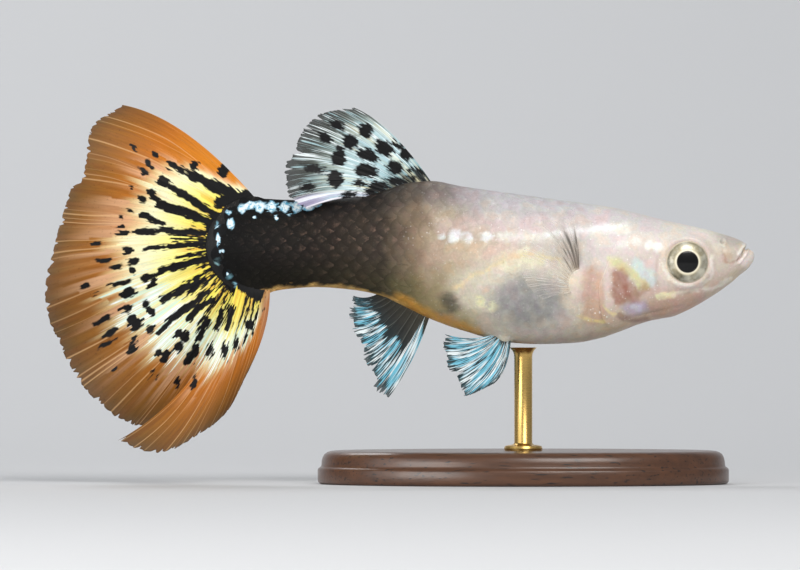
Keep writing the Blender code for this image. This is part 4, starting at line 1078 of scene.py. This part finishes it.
def fin(name, keys, rays, rows, surface, wave=None, fray=0.02, tips=0.01, torn=lambda q: 0 * q,
        thickness=MEMBRANE, root=ROOT_THICKNESS, seed=FIN_SEED):
    """A fin as a closed sheet with a ridge along each branch of its forked rays.

    fray is how far the membrane stops short between rays, tips how much the rays' ends vary, and torn what
    is missing at a place across the fin, all as shares of a ray.
    """
    draw = np.random.default_rng(seed)
    columns = len(RAY_COLUMNS)
    count = rays * columns + 1
    kind = np.array([RAY_COLUMNS[i % columns] for i in range(count)])
    side = np.array([1 if i % columns > columns / 2 else -1 for i in range(count)])
    middle = (np.arange(count) // columns + 0.5) / rays
    middle[-1] -= 1 / rays
    side[-1] = 1
    v = (np.linspace(0, 1, rows + 1) ** TIP_CROWDING)[:, None]
    apart = forked(v, FIRST_FORK, FIRST_APART)
    split = forked(v, SECOND_FORK, SECOND_APART)
    valley, cleft = (fade(v, start, start + 0.2) for start in (FIRST_FORK[0], SECOND_FORK[0]))
    offsets = {"edge": 1 + 0 * v, "web": (1 + apart + split) / 2, "out": apart + split, "pair": apart,
               "in": apart - split, "middle": 0 * v}
    heights = {"edge": 0 * v, "web": 0.12 + 0 * v, "out": 1 + 0 * v, "pair": 1 - 0.85 * cleft,
               "in": 1 + 0 * v, "middle": 1 - 0.9 * valley}
    q = np.hstack([middle[i] + side[i] * offsets[kind[i]] / 2 / rays for i in range(count)])
    q = q + RAY_WANDER / rays * v * np.sin(8 * v + 23 * q) * np.sin(math.pi * q)
    q = np.clip(q, 0, 1)
    ridge = np.hstack([heights[k] for k in kind])
    ridge[:, [0, -1]] = 1.0
    notched = draw.uniform(0, 1, count) < NOTCHED_SHARE
    notch = np.where(notched, draw.uniform(*DEEP_NOTCH, count), SHALLOW_NOTCH)
    short = np.where(np.isin(kind, ("out", "in")), tips * draw.uniform(0, 1, count), fray * notch)
    short += 0.6 * fray * cloud(15 * middle, 0 * middle, 1.0, seed)
    short[[0, -1]] = 0
    long = v * (1 - (short + torn(q)) * fade(v, 0.70, 1))
    places = ray_place(keys, q, long)
    if wave:
        places[..., 1] += wave(q, long)
    thick = thickness + (root - thickness) * (1 - ease(v / ROOT_FADE))
    thick = thick * (1 - TIP_THINNING * fade(v, 0.85, 1))
    thick = thick + 2 * RIDGE * ridge * fade(v, 0.06, 0.22) * (1 - 0.7 * v)
    half = unit(np.cross(np.gradient(places, axis=0), np.gradient(places, axis=1))) * thick[..., None] / 2
    vertices = np.vstack([world(*np.moveaxis(layer, -1, 0)) for layer in (places + half, places - half)])
    shift = len(vertices) // 2
    corners = [k * count + i for k in range(rows) for i in range(count - 1)]
    faces = [[a, a + 1, a + count + 1, a + count] for a in corners]
    faces += [[v + shift for v in face[::-1]] for face in faces]
    faces += [[a + shift, b + shift, b, a] for a, b in rim_pairs(rows, count)]
    made = mesh_piece(name, vertices, faces, surface)
    glow = ridge * draw.uniform(0.15, 1.0, count)
    for label, values in (("ray", glow), ("across", q * rays), ("along", long)):
        give(made, label, np.tile(values.ravel(), 2))
    return made, np.tile(q.ravel(), 2), np.tile(long.ravel(), 2)


def tail_key(share, bend, tip, y_bend=0.0, y_tip=0.0):
    """A key ray of the tail fin, rooted inside the stalk's end, share from 1 on top to -1 beneath."""
    d, h = end_curve(np.array(float(share)), ROOT_SUNK)
    return (float(d), 0.0, float(h), bend[0], y_bend, bend[1], tip[0], y_tip, tip[1])


def from_marks(d, h, hub, spots, streaks=()):
    """Distance in mm outside the nearest black mark, negative within it."""
    least = np.full(len(d), np.inf)
    for d0, h0, half_long, half_wide in spots:
        ahead = np.array([d0 - hub[0], h0 - hub[1]])
        ahead /= np.linalg.norm(ahead)
        along = (d - d0) * ahead[0] + (h - h0) * ahead[1]
        across = (h - h0) * ahead[0] - (d - d0) * ahead[1]
        away = (np.hypot(along / half_long, across / half_wide) - 1) * half_wide
        least = np.minimum(least, away)
    for d0, h0, d1, h1, half_wide in streaks:
        least = np.minimum(least, from_line(d, h, ((d0, h0), (d1, h1))) - half_wide)
    return least


# Fin surface: paint broken into fine streaks along the rays, a pale line on each branch, and black marks
# whose edges are ragged along the rays
membrane, given, out = node_group(
    "fin_membrane", "ShaderNodeTree",
    (("Paint", COLOUR, WHITE), ("Ray", FLOAT, 0.0), ("Across", FLOAT, 0.0), ("Along", FLOAT, 0.0),
     ("Mark", FLOAT, 1.0), ("Streaks", FLOAT, 0.3), ("Specks", FLOAT, 0.2), ("Ragged", FLOAT, 0.25),
     ("Ray Colour", COLOUR, WHITE), ("Ray Strength", FLOAT, 0.5), ("Mark Colour", COLOUR, WHITE),
     ("Sheen", FLOAT, 0.0), ("Sheen Colour", COLOUR, WHITE)),
    (("Colour", COLOUR), ("Lines", FLOAT), ("Dark", FLOAT), ("Height", FLOAT)),
)
across, along = given["Across"], given["Along"]


def combed(x, y, detail, roughness, z=0.0):
    """A cloudy pattern over places given as their share across the rays and along them."""
    return node(membrane, "ShaderNodeCombineXYZ", {0: x, 1: y, 2: z}).noise(1.0, detail, roughness)


fine = combed(across * 6.0, along * 5.0, 3.0, 0.65)
torn = combed(reckon("FLOOR", across * 6.0) * 7.31, along * 11.0, 2.0, 0.6)
dust = combed(across * 9.0, along * 60.0, 2.0, 0.6).rise(0.60, 0.74)
hair = combed(across * 9.0, along * 2.6, 2.0, 0.55)
hue = combed(across * 2.3, along * 1.7, 2.0, 0.5, 5.0).rise(0.42, 0.60)
line = given["Ray"].rise(0.45, 0.95)
glossy = (given["Sheen"] * 0.6 + hair).rise(0.78, 0.88)
dark = 1.0 - ((torn - 0.5) * given["Ragged"] + given["Mark"]).rise(-0.05, 0.06)
toned = given["Paint"].shaded((fine - 0.5) * (given["Streaks"] * 2.0) + 1.0 - dust * given["Specks"])
toned = (line * given["Ray Strength"]).mix(toned, given["Ray Colour"])
toned = (glossy * 0.84).mix(toned, hue.mix(given["Sheen Colour"], dye(ICE_WHITE)))
dark.mix(toned, given["Mark Colour"]).into(out["Colour"])
reckon("MAXIMUM", line, glossy).into(out["Lines"])
dark.into(out["Dark"])
(given["Ray"] + fine * 0.5).into(out["Height"])

RIB_DEPTH = 0.00004


def fin_finish(name, streaks, ray_colour, ray_strength, sheen_colour, specks=0.0, ragged=0.0,
               ray_cover=0.75):
    """A fin's material, see-through where its veil is thin, except on rays and black marks."""
    made, tree, shader = finish(name, Roughness=0.55, Coat_Weight=0.04, Coat_Roughness=0.2,
                                Specular_IOR_Level=0.18)
    inputs = {label: held(tree, label.lower()) for label in ("Ray", "Across", "Along", "Mark", "Sheen")}
    inputs |= {"Paint": held(tree, "paint", "Color"), "Streaks": streaks, "Specks": specks,
               "Ragged": ragged, "Ray Colour": dye(ray_colour), "Ray Strength": ray_strength,
               "Mark Colour": dye(MARK_BLACK), "Sheen Colour": dye(sheen_colour)}
    colour = node(tree, "ShaderNodeGroup", inputs, "Colour", node_tree=membrane)
    colour.into(shader["Base Color"])
    veil = held(tree, "veil")
    cover = reckon("MAXIMUM", colour.other("Lines") * ray_cover, colour.other("Dark"))
    ((1.0 - veil) * cover + veil).into(shader["Alpha"])
    colour.other("Height").emboss(0.4, RIB_DEPTH, shader["Normal"])
    return made


FAN_KEYS = [
    tail_key(0.97, (44.2, 10.4), (49.2, 11.3), 0.1, 0.5),
    tail_key(0.72, (45.3, 7.9), (51.9, 9.4), 0.0, 0.1),
    tail_key(0.45, (46.3, 4.6), (53.0, 5.6), -0.1, -0.7),
    tail_key(0.18, (46.8, 1.9), (54.3, 1.5), -0.1, -0.9),
    tail_key(-0.06, (46.7, -0.7), (55.2, -3.3), 0.0, -0.3),
    tail_key(-0.26, (45.7, -3.4), (54.0, -7.7), 0.2, 0.5),
    tail_key(-0.44, (44.1, -5.6), (51.6, -11.4), 0.4, 1.1),
    tail_key(-0.58, (42.5, -6.8), (48.2, -13.7), 0.6, 1.5),
    tail_key(-0.72, (41.4, -7.6), (44.6, -13.3), 0.7, 1.6),
]
LOBE_KEYS = [
    tail_key(-0.56, (42.0, -10.7), (49.5, -14.8), -0.9, -1.5),
    tail_key(-0.68, (41.0, -10.3), (46.6, -15.9), -1.0, -2.1),
    tail_key(-0.79, (40.2, -8.8), (43.4, -14.4), -0.8, -1.9),
    tail_key(-0.89, (38.9, -7.4), (41.1, -12.6), -0.5, -1.2),
    tail_key(-0.98, (37.6, -6.0), (39.4, -9.4), -0.3, -0.6),
]
FAN_SWELL, FAN_WAVES = 0.38, 3.5
LOBE_SWELL, LOBE_WAVES, LOBE_SHIFT = 0.2, 1.5, -0.16


def swell(q, v, height, waves):
    """Waves across a fin that grow towards its margin."""
    return height * v ** 1.5 * np.sin(2 * math.pi * waves * q)


def fan_wave(q, v):
    """How the fan's sheet waves to the left and right."""
    return swell(q, v, FAN_SWELL, FAN_WAVES)


def lobe_wave(q, v):
    """How the lobe's sheet waves, its root laid against the fan's right side."""
    return LOBE_SHIFT * ease(v / 0.12) * (1 - v) + swell(q, v, LOBE_SWELL, LOBE_WAVES)


def strip_luck(q, strips, seed):
    """Three chance values between 0 and 1, the same all along each of the fin's fine strips."""
    cells = np.minimum((q * strips).astype(int), strips - 1)
    return np.random.default_rng(seed).uniform(0, 1, (strips, 3))[cells].T


def paint_tail(piece, q, v, rays, yellow_ends, crescent, seed):
    """Lays the tail's colours on: yellow bars, a pale zone with blue-white streaks, and the orange rim, all
    darkened towards the lower edge as painted shade.
    """
    d, y, h = fish_places(piece)
    one, two, three = strip_luck(q, rays * STRIPS_PER_RAY, seed)
    share = v / smooth(yellow_ends, q) * (1 + YELLOW_JITTER * (one - 0.5))
    share = share + YELLOW_RIPPLE * np.sin(RIPPLES * q)
    inner = ramp(YELLOW, share)
    inner = blend(inner, screen(AMBER), 0.8 * two ** 2 * fade(share, 0.65, 0.35))
    outer = ramp(ORANGE, v)
    outer = blend(outer, screen(RUST), 0.45 * three * fade(v, 0.45, 0.85))
    outer = blend(outer, screen(PEACH), 0.5 * fade(one, 0.55, 0.85) * fade(share, 1.6, 1.1))
    colour = blend(inner, outer, fade(share, 0.86, 1.14))
    under_stalk = fade(d, 38.9, 38.1)
    hip = under_stalk * fade(h, -8.5, -6.5)
    colour = blend(colour, screen(HIP_TAN), 0.9 * hip)
    # painted shade: every colour of the tail is darkened towards its lower edge
    give(piece, "paint", colour * (1 - 0.16 * fade(h, -1.0, -7.0))[:, None])
    low = 0.45 + 0.55 * fade(h, -0.5, -4.0)
    give(piece, "sheen", 0.56 * low * fade(share, 0.45, 0.65) * fade(share, 1.25, 0.85) * (1 - hip))
    # Black marks: the spots and streaks, the crescent at the root, and teeth that run from it on the rays
    end = [tuple(map(float, end_curve(np.array(level), 0.0))) for level in np.linspace(-1, 1, 25)]
    root = from_line(d, h, end) - crescent - 0.30 * cloud(3 * np.arctan2(h, d - 38), 0 * d, 0.3, seed)
    root = root + 0.6 * fade(h, 2.2, 3.7) + 1.2 * fade(d, 38.6, 38)
    phase = q * rays - np.floor(q * rays)
    gap = np.minimum(phase, 1 - phase) * 1.85 * v
    nearest = np.round(q * rays).astype(int)
    reach = np.random.default_rng(seed).uniform(*TOOTH_REACH, rays + 1)[nearest]
    comb = gap - TOOTH_WIDTH + 0.3 * fade(v, reach, reach + 0.10) + 0.35 * fade(q, 0.36, 0.24)
    comb = comb + 0.2 * under_stalk
    give(piece, "mark", np.minimum(from_marks(d, h, TAIL_HUB, SPOTS, STREAKS), np.minimum(root, comb)))
    give(piece, "veil", 1.0 - 0.15 * fade(v, 0.90, 1))


def tail_tear(q):
    """The upper margin stops short of the ray that sticks out beside it."""
    return TEAR_DEPTH * fade(q, 0.06, 0.22) * (q < TEAR_END)


tail_finish = fin_finish("tail_membrane", streaks=0.36, ray_colour="e8bc88", ray_strength=0.42,
                         sheen_colour="cdebdc", specks=0.32, ragged=0.90)
fan, q, v = fin("tail_fan", FAN_KEYS, FAN_RAYS, FAN_ROWS, tail_finish, fan_wave, fray=0.014, tips=0.012,
                torn=tail_tear, root=0.20)
paint_tail(fan, q, v, FAN_RAYS, YELLOW_ENDS, CRESCENT, FIN_SEED)
lobe, q, v = fin("tail_lobe", LOBE_KEYS, LOBE_RAYS, LOBE_ROWS, tail_finish, lobe_wave, fray=0.025,
                 tips=0.02, root=0.12, seed=FIN_SEED + 1)
paint_tail(lobe, q, v, LOBE_RAYS, LOBE_YELLOW_ENDS, LOBE_CRESCENT, FIN_SEED + 1)
for piece in (fan, lobe):
    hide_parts("caudal_fin")
    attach(piece, "root")


# Dorsal fin
# A sail on the back of clear, blue-white membrane with rows of black spots, rooted in the ridge of the
# back. Its rear rays flop over towards the fish's right.

DORSAL_RAYS = 12
DORSAL_ROWS = 72
DORSAL_HUB = (24.5, 5.2)
SPOT_GROWTH, SPOT_SOFTNESS = 0.08, 0.45
# Strength of the blue-white streaks: shares along the rays, and strengths there
DORSAL_SHEEN = ((0.06, 0.2, 0.5, 0.75, 0.95, 1.0), (0.1, 0.50, 0.54, 0.48, 0.40, 0.2))
DORSAL_COLOURS = ((0.0, "141414"), (0.10, "32393a"), (0.18, "8fb0b4"), (0.35, "b9d6dc"), (0.55, "a9bfc0"),
                  (0.72, "737f79"), (0.84, "454a45"), (1.0, "2b2e2c"))
STREAK_CREAM, FOLD_LILAC, FOLD_WHITE = "f0e8c0", "cfc4ea", "f6f3fb"
DORSAL_SPOTS = (
    (30.3, 9.3, 0.54, 0.47), (31.5, 8.4, 0.54, 0.47), (28.8, 7.9, 0.70, 0.47), (30.1, 7.4, 0.78, 0.43),
    (30.2, 6.2, 0.78, 0.51), (28.0, 6.4, 0.58, 0.47), (27.1, 7.5, 0.54, 0.39), (27.7, 8.1, 0.39, 0.16),
    (32.4, 7.1, 0.54, 0.54), (32.6, 5.5, 0.54, 0.62), (34.2, 6.3, 0.62, 0.22), (33.4, 8.7, 0.47, 0.31),
    (32.5, 9.7, 0.47, 0.27), (26.8, 6.2, 0.16, 0.16), (26.0, 6.1, 0.31, 0.16), (29.3, 4.9, 0.70, 0.39),
    (29.8, 4.6, 0.47, 0.31), (30.7, 5.2, 0.47, 0.23), (27.8, 5.4, 0.78, 0.23), (26.6, 5.6, 0.31, 0.16),
    (31.5, 4.3, 0.47, 0.23), (34.8, 4.9, 0.47, 0.23), (32.2, 7.9, 0.23, 0.16),
)


def dorsal_key(base, bend, tip, y_bend, y_tip):
    """A key ray of the dorsal fin, rooted inside the back."""
    root = (base, 0.0, float(smooth(BACK_LINE, base)) + ROOT_SUNK)
    return (*root, bend[0], y_bend, bend[1], tip[0], y_tip, tip[1])


DORSAL_KEYS = [
    dorsal_key(24.9, (28.2, 9.9), (31.2, 11.1), 0.0, 0.2),
    dorsal_key(25.6, (29.4, 9.3), (33.6, 10.8), 0.0, 0.3),
    dorsal_key(26.3, (30.4, 8.1), (35.0, 9.7), 0.1, 0.3),
    dorsal_key(27.0, (31.0, 7.3), (35.9, 8.0), 0.1, 0.0),
    dorsal_key(27.7, (31.3, 6.6), (36.5, 6.0), 0.0, -0.6),
    dorsal_key(28.3, (31.4, 6.0), (36.4, 4.5), -0.3, -1.3),
    dorsal_key(28.9, (31.9, 5.1), (35.9, 3.9), -0.9, -1.75),
    dorsal_key(29.3, (31.7, 4.5), (34.9, 3.2), -1.35, -2.05),
]
dorsal_finish = fin_finish("dorsal_membrane", streaks=0.45, ray_colour="e6eeee", ray_strength=0.45,
                           sheen_colour="a9c8ce", specks=0.10, ragged=0.45)
dorsal, q, v = fin("dorsal_sail", DORSAL_KEYS, DORSAL_RAYS, DORSAL_ROWS, dorsal_finish, fray=0.05,
                   tips=0.03, seed=FIN_SEED + 2)
d, y, h = fish_places(dorsal)
one, two, three = strip_luck(q, DORSAL_RAYS * STRIPS_PER_RAY, FIN_SEED + 2)
folded = fade(q, 0.82, 0.9)
colour = ramp(DORSAL_COLOURS, v + 0.10 * (one - 0.5))
colour = blend(colour, screen(STREAK_CREAM), 0.7 * fade(three, 0.65, 0.95) * fade(v, 0.8, 0.6))
colour = blend(colour, screen(FOLD_LILAC), (0.45 + 0.5 * one) * folded * fade(v, 0.02, 0.17))
colour = blend(colour, screen(FOLD_WHITE), 0.9 * fade(two, 0.5, 0.7) * folded)
give(dorsal, "paint", colour)
give(dorsal, "mark", SPOT_SOFTNESS * (from_marks(d, h, DORSAL_HUB, DORSAL_SPOTS) - SPOT_GROWTH))
give(dorsal, "sheen", np.interp(v, *DORSAL_SHEEN))
give(dorsal, "veil", 0.96 - 0.28 * fade(v, 0.74, 1))
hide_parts("dorsal_fin")
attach(dorsal, "root")


# Anal fin
# A fan under the rear of the belly, of smoky membrane with bright blue-white streaks along its rays. Like
# the other fins it is a thin cast sheet, its rays rooted inside the edge of the belly.

ANAL_RAYS = 10
ANAL_ROWS = 64
SMOKY = ((0.0, "5a5040"), (0.10, "3a382f"), (0.28, "2b2b28"), (0.50, "212c2f"), (0.75, "213a42"),
         (0.90, "2c444a"), (1.0, "3d4c4e"))


def anal_key(base, bend, tip, y_tip):
    """A key ray of the anal fin, rooted inside the belly."""
    root = (base, 0.0, float(smooth(BELLY_LINE, base)) - ROOT_SUNK)
    return (*root, bend[0], 0.0, bend[1], tip[0], y_tip, tip[1])


ANAL_KEYS = [
    anal_key(25.2, (26.5, -9.0), (28.5, -11.5), 0.3),
    anal_key(25.7, (27.5, -8.6), (29.4, -10.6), 0.2),
    anal_key(26.3, (28.1, -7.5), (30.2, -8.7), -0.1),
    anal_key(27.0, (28.8, -6.4), (30.9, -7.0), -0.3),
    anal_key(27.6, (29.3, -5.6), (31.4, -5.5), -0.2),
    anal_key(28.2, (29.7, -4.75), (31.4, -4.3), -0.1),
    anal_key(28.9, (30.1, -4.0), (31.2, -3.55), 0.0),
]


def streaked(piece, q, v, starts, brightness, seed):
    """Paints a smoky fin, with bright streaks of uneven length along its branches."""
    starts = starts + 0.12 * cloud(q * 12, 0 * q, 1.0, seed)
    give(piece, "paint", ramp(SMOKY, v))
    give(piece, "sheen", brightness * fade(v, starts, starts + 0.20) * (1 - 0.35 * fade(v, 0.84, 0.98)))
    give(piece, "mark", np.ones(len(q)))
    give(piece, "veil", 0.94 - 0.30 * fade(v, 0.84, 1))


lower_finish = fin_finish("smoky_membrane", streaks=0.60, ray_colour="8d9189", ray_strength=0.30,
                          sheen_colour="7ccbe4")
anal, q, v = fin("anal_fan", ANAL_KEYS, ANAL_RAYS, ANAL_ROWS, lower_finish, fray=0.12, tips=0.05,
                 seed=FIN_SEED + 3)
starts = 0.34 - 0.36 * fade(q, 0.2, 0.08)
brightness = 0.55 + 0.08 * fade(q, 0.2, 0.1) - 0.22 * fade(q, 0.75, 0.95)
streaked(anal, q, v, starts, brightness, FIN_SEED + 4)
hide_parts("anal_fin")
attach(anal, "root")


# Pelvic fins
# A short pair under the belly, of the same smoky membrane, which leans out from the body towards its
# tips. Each is rooted in a low fleshy rise of the skin.

PELVIC_RAYS = 8
PELVIC_ROWS = 52
PELVIC_Y = PELVIC_BASE[1]
# Key rays: distance of the root, then (distance, height) of the bend and the tip, and how far it leans out
PELVIC_KEYS = (
    (18.95, (19.1, -9.4), (20.4, -10.4), 0.9), (19.3, (20.0, -9.7), (22.7, -11.4), 0.8),
    (19.6, (21.2, -8.8), (23.6, -9.5), 0.6), (19.9, (21.8, -7.9), (24.2, -7.7), 0.4),
    (20.1, (21.9, -7.25), (24.1, -6.55), 0.35),
)

for side, name in ((1, "pelvic_fin_left"), (-1, "pelvic_fin_right")):
    keys = []
    for base, bend, tip, lean in PELVIC_KEYS:
        keys.append((base, side * PELVIC_Y, float(belly_h(base, PELVIC_Y)) + 0.35,
                     bend[0], side * (PELVIC_Y + 0.1 + lean * 0.4), bend[1],
                     tip[0], side * (PELVIC_Y + 0.2 + lean), tip[1]))
    pelvic, q, v = fin(name + "_fan", keys, PELVIC_RAYS, PELVIC_ROWS, lower_finish, fray=0.10, tips=0.06,
                       seed=FIN_SEED + 5)
    streaked(pelvic, q, v, -0.04, 0.60 - 0.12 * fade(q, 0.14, 0.04), FIN_SEED + 6)
    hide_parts(name)
    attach(pelvic, "root")


# Pectoral fins
# A pair of small, nearly clear fans behind the gill covers, spread up and back from fleshy bases, with
# fine rays, the upper ones dusky.

PECTORAL_RAYS = 12
PECTORAL_ROWS = 48
# Dusky rays: (share across the fin, half width, share along it where they end)
DUSKY_STROKES = ((0.02, 0.010, 0.95), (0.05, 0.014, 0.80), (0.095, 0.018, 1.0), (0.15, 0.010, 0.85),
                 (0.20, 0.008, 0.95), (0.27, 0.006, 0.75))
PECTORAL_COLOURS = ((0.0, "d9bfa6"), (0.15, "e2cfba"), (0.6, "e3dcd2"), (1.0, "d8d2ca"))
# Key rays: (distance, height) of the root, the bend and the tip, and how far off the body these two are
PECTORAL_KEYS = (
    ((13.75, -2.0), (13.6, 0.6), (14.2, 2.7), 0.95, 1.4),
    ((13.95, -2.15), (14.7, 0.3), (16.6, 1.9), 1.0, 1.8),
    ((14.15, -2.4), (15.5, -0.5), (17.9, 0.4), 1.1, 1.9),
    ((14.25, -2.7), (15.9, -1.6), (18.3, -1.3), 1.1, 1.9),
    ((14.25, -3.0), (15.8, -2.6), (17.6, -3.0), 1.1, 1.8),
    ((14.15, -3.3), (15.3, -3.4), (16.7, -3.9), 1.0, 1.5),
)
PECTORAL_SUNK = -0.2
STROKE_GREY = "453f3b"

clear_finish = fin_finish("clear_membrane", streaks=0.10, ray_colour="f6eee0", ray_strength=0.0,
                          sheen_colour="f6eee0", ray_cover=0.40)
for side, name in ((1, "pectoral_fin_left"), (-1, "pectoral_fin_right")):
    keys = []
    for root, bend, tip, out_bend, out_tip in PECTORAL_KEYS:
        key = []
        for (d, h), off in ((root, PECTORAL_SUNK), (bend, out_bend), (tip, out_tip)):
            key += [d, side * (float(skin_y(np.array(d), np.array(h))) + off), h]
        keys.append(tuple(key))
    pectoral, q, v = fin(name + "_fan", keys, PECTORAL_RAYS, PECTORAL_ROWS, clear_finish, fray=0.05,
                         tips=0.02, thickness=0.06, root=0.14, seed=FIN_SEED + 7)
    strokes = 0 * q
    for across, half, end in DUSKY_STROKES:
        strokes = np.maximum(strokes, bump(q - across, half) * fade(v, end, end - 0.45))
    strokes = strokes * fade(v, 0.06, 0.16)
    give(pectoral, "paint", blend(ramp(PECTORAL_COLOURS, v), screen(STROKE_GREY), strokes))
    give(pectoral, "mark", np.ones(len(q)))
    give(pectoral, "sheen", 0.50 * fade(v, 0.8, 0.2) * fade(q, 0.1, 0.2))
    give(pectoral, "veil", np.clip(0.06 + 0.30 * (1 - ease(v / 0.35)) + 0.80 * strokes, 0, 1))
    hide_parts(name)
    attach(pectoral, "root")


# Stand
# An oval base of dark, waxed hardwood with a turned edge, and a brushed brass rod that screws into it
# through a small collar and carries the fish on a cup under its belly.

BASE_LENGTH = 32.0
BASE_WIDTH = 20.0
BASE_SIDES = 160
ROD_RADIUS = 0.7
ROD_SIDES = 48
ROD_FOOT = 1.2
BASE_EDGE = (
    (0.0, 0.35), (0.06, 0.15), (0.16, 0.04), (0.30, 0.0), (1.10, 0.0), (1.22, 0.05), (1.30, 0.16),
    (1.38, 0.26), (1.52, 0.30), (1.78, 0.32), (2.06, 0.38), (2.32, 0.52), (2.48, 0.74), (2.56, 0.98),
    (2.60, 1.30), (2.60, 3.0), (2.60, 6.0),
)
ROD_PROFILE = (
    (ROD_FOOT, ROD_RADIUS), (2.58, ROD_RADIUS), (2.60, 1.45), (2.78, 1.50), (2.95, 1.42), (3.02, 1.22),
    (3.06, 0.86), (3.12, 0.76), (3.20, ROD_RADIUS), (9.85, ROD_RADIUS), (10.10, 0.72), (10.35, 0.82),
    (10.62, 1.05),
)


def turned_piece(name, profile, radii, sides, surface):
    """A closed piece turned from a profile of (height, inset or radius); radii gives both half widths."""
    turn = np.linspace(0, 2 * math.pi, sides, endpoint=False)
    rings = []
    for z, value in profile:
        wide, deep = radii(value)
        rings.append(np.stack([wide * np.cos(turn), deep * np.sin(turn), np.full(sides, z)], -1))
    vertices = np.vstack(rings) * MM
    faces = tube_faces(len(rings), sides)
    faces += [list(range(sides))[::-1], [len(vertices) - sides + i for i in range(sides)]]
    made = mesh_piece(name, vertices, faces, surface)
    made.data.set_sharp_from_angle(angle=math.radians(40))
    return made


def drawn_out(tree, scale):
    """Own places squeezed along one way, which draws a pattern out along it."""
    return node(tree, "ShaderNodeMapping", {0: own_places(tree), "Scale": scale})


WOOD_DARK, WOOD_PALE, PORE_BROWN = "2c1a10", "6b4328", "1c110b"
BRASS_YELLOW = "d7b26a"
WOOD_GRAIN = (0.09, 1.0, 1.0)
BRUSHING = (1.0, 1.0, 12.0)
PORE_DEPTH = 0.00005
SCRATCH_DEPTH = 0.00002

wood, tree, shader = finish("waxed_wood", Roughness=0.34, Coat_Weight=0.35, Coat_Roughness=0.18)
lengthwise = drawn_out(tree, WOOD_GRAIN)
pores = lengthwise.noise(5200.0)
brown = lengthwise.noise(1500.0, 6.0, 0.65).mix(dye(WOOD_DARK), dye(WOOD_PALE))
pores.rise(0.58, 0.72).mix(brown, dye(PORE_BROWN)).into(shader["Base Color"])
pores.emboss(0.25, PORE_DEPTH, shader["Normal"])

brass, tree, shader = finish("brushed_brass", Base_Color=dye(BRASS_YELLOW), Metallic=1.0, Roughness=0.28)
scratches = drawn_out(tree, BRUSHING).noise(1500.0)
(scratches * 0.16 + 0.20).into(shader["Roughness"])
scratches.emboss(0.10, SCRATCH_DEPTH, shader["Normal"])

base = turned_piece("oval_base", BASE_EDGE, lambda inset: (BASE_LENGTH / 2 - inset, BASE_WIDTH / 2 - inset),
                    BASE_SIDES, wood)
rod = turned_piece("brass_rod", ROD_PROFILE, lambda radius: (radius, radius), ROD_SIDES, brass)
for piece, node_name, slot in ((base, "stand_base", "stand_wood"), (rod, "stand_rod", "stand_brass")):
    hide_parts(node_name)
    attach(piece, "root")


# Floor and light
# A plain pale floor that curves up into a backdrop, a large soft lamp high in front, a broad fill from
# the other side, a small one low down for the belly, and a soft lamp behind that edges the fins. The
# backdrop can be seen through from behind, so that it never hides the fish.

FLOOR_HALF = 1.6
FLOOR_NEAR = -1.6
COVE_START = 0.09
COVE_RADIUS = 0.35
COVE_HEIGHT = 1.6
COVE_STEPS = 24
SKY_LIGHT = 0.36
SKY_SEEN = 0.62
SKY_COLOUR = (0.93, 0.96, 1.0, 1.0)
FLOOR_GREY = "cfd0d2"

floor_finish, tree, shader = finish("pale_floor", Base_Color=dye(FLOOR_GREY), Roughness=0.75)
(1.0 - node(tree, "ShaderNodeNewGeometry", output="Backfacing")).into(shader["Alpha"])
profile = [(FLOOR_NEAR, 0.0)]
for k in range(COVE_STEPS + 1):
    turn = math.pi / 2 * k / COVE_STEPS
    profile.append((COVE_START + COVE_RADIUS * math.sin(turn), COVE_RADIUS * (1 - math.cos(turn))))
profile.append((COVE_START + COVE_RADIUS, COVE_HEIGHT))
vertices = np.array([(x, y, z) for y, z in profile for x in (-FLOOR_HALF, FLOOR_HALF)])
faces = [[2 * k, 2 * k + 1, 2 * k + 3, 2 * k + 2] for k in range(len(profile) - 1)]
floor = mesh_piece("floor", vertices, faces, floor_finish)

for name, place, size, watts, colour in (
    ("key_lamp", (0.14, -0.36, 0.33), 0.26, 1.38, (1.0, 0.98, 0.95)),
    ("fill_lamp", (-0.32, -0.26, 0.16), 0.34, 0.46, (0.94, 0.97, 1.0)),
    ("low_lamp", (-0.18, -0.24, 0.035), 0.16, 0.36, (1.0, 0.98, 0.95)),
    ("rim_lamp", (-0.14, 0.24, 0.36), 0.20, 0.55, (1.0, 1.0, 1.0)),
):
    light = bpy.data.lights.new(name, "AREA")
    light.energy, light.size, light.color = watts, size, colour
    lamp = bpy.data.objects.new(name, light)
    back = np.array(place) - (PICTURE_CENTRE[0] * MM, 0, AXIS_HEIGHT * MM)
    away = float(np.linalg.norm(back))
    lamp.location = place
    lamp.rotation_euler = (math.acos(back[2] / away), 0, math.atan2(back[1], back[0]) + math.pi / 2)
    bpy.context.scene.collection.objects.link(lamp)

sky = bpy.data.worlds.new("soft_sky")
sky.use_nodes = True
background = sky.node_tree.nodes["Background"].inputs
background["Color"].default_value = SKY_COLOUR
seen = node(sky.node_tree, "ShaderNodeLightPath", output="Is Camera Ray")
(seen * (SKY_SEEN - SKY_LIGHT) + SKY_LIGHT).into(background["Strength"])
bpy.context.scene.world = sky
bpy.context.scene.view_settings.view_transform = "Standard"
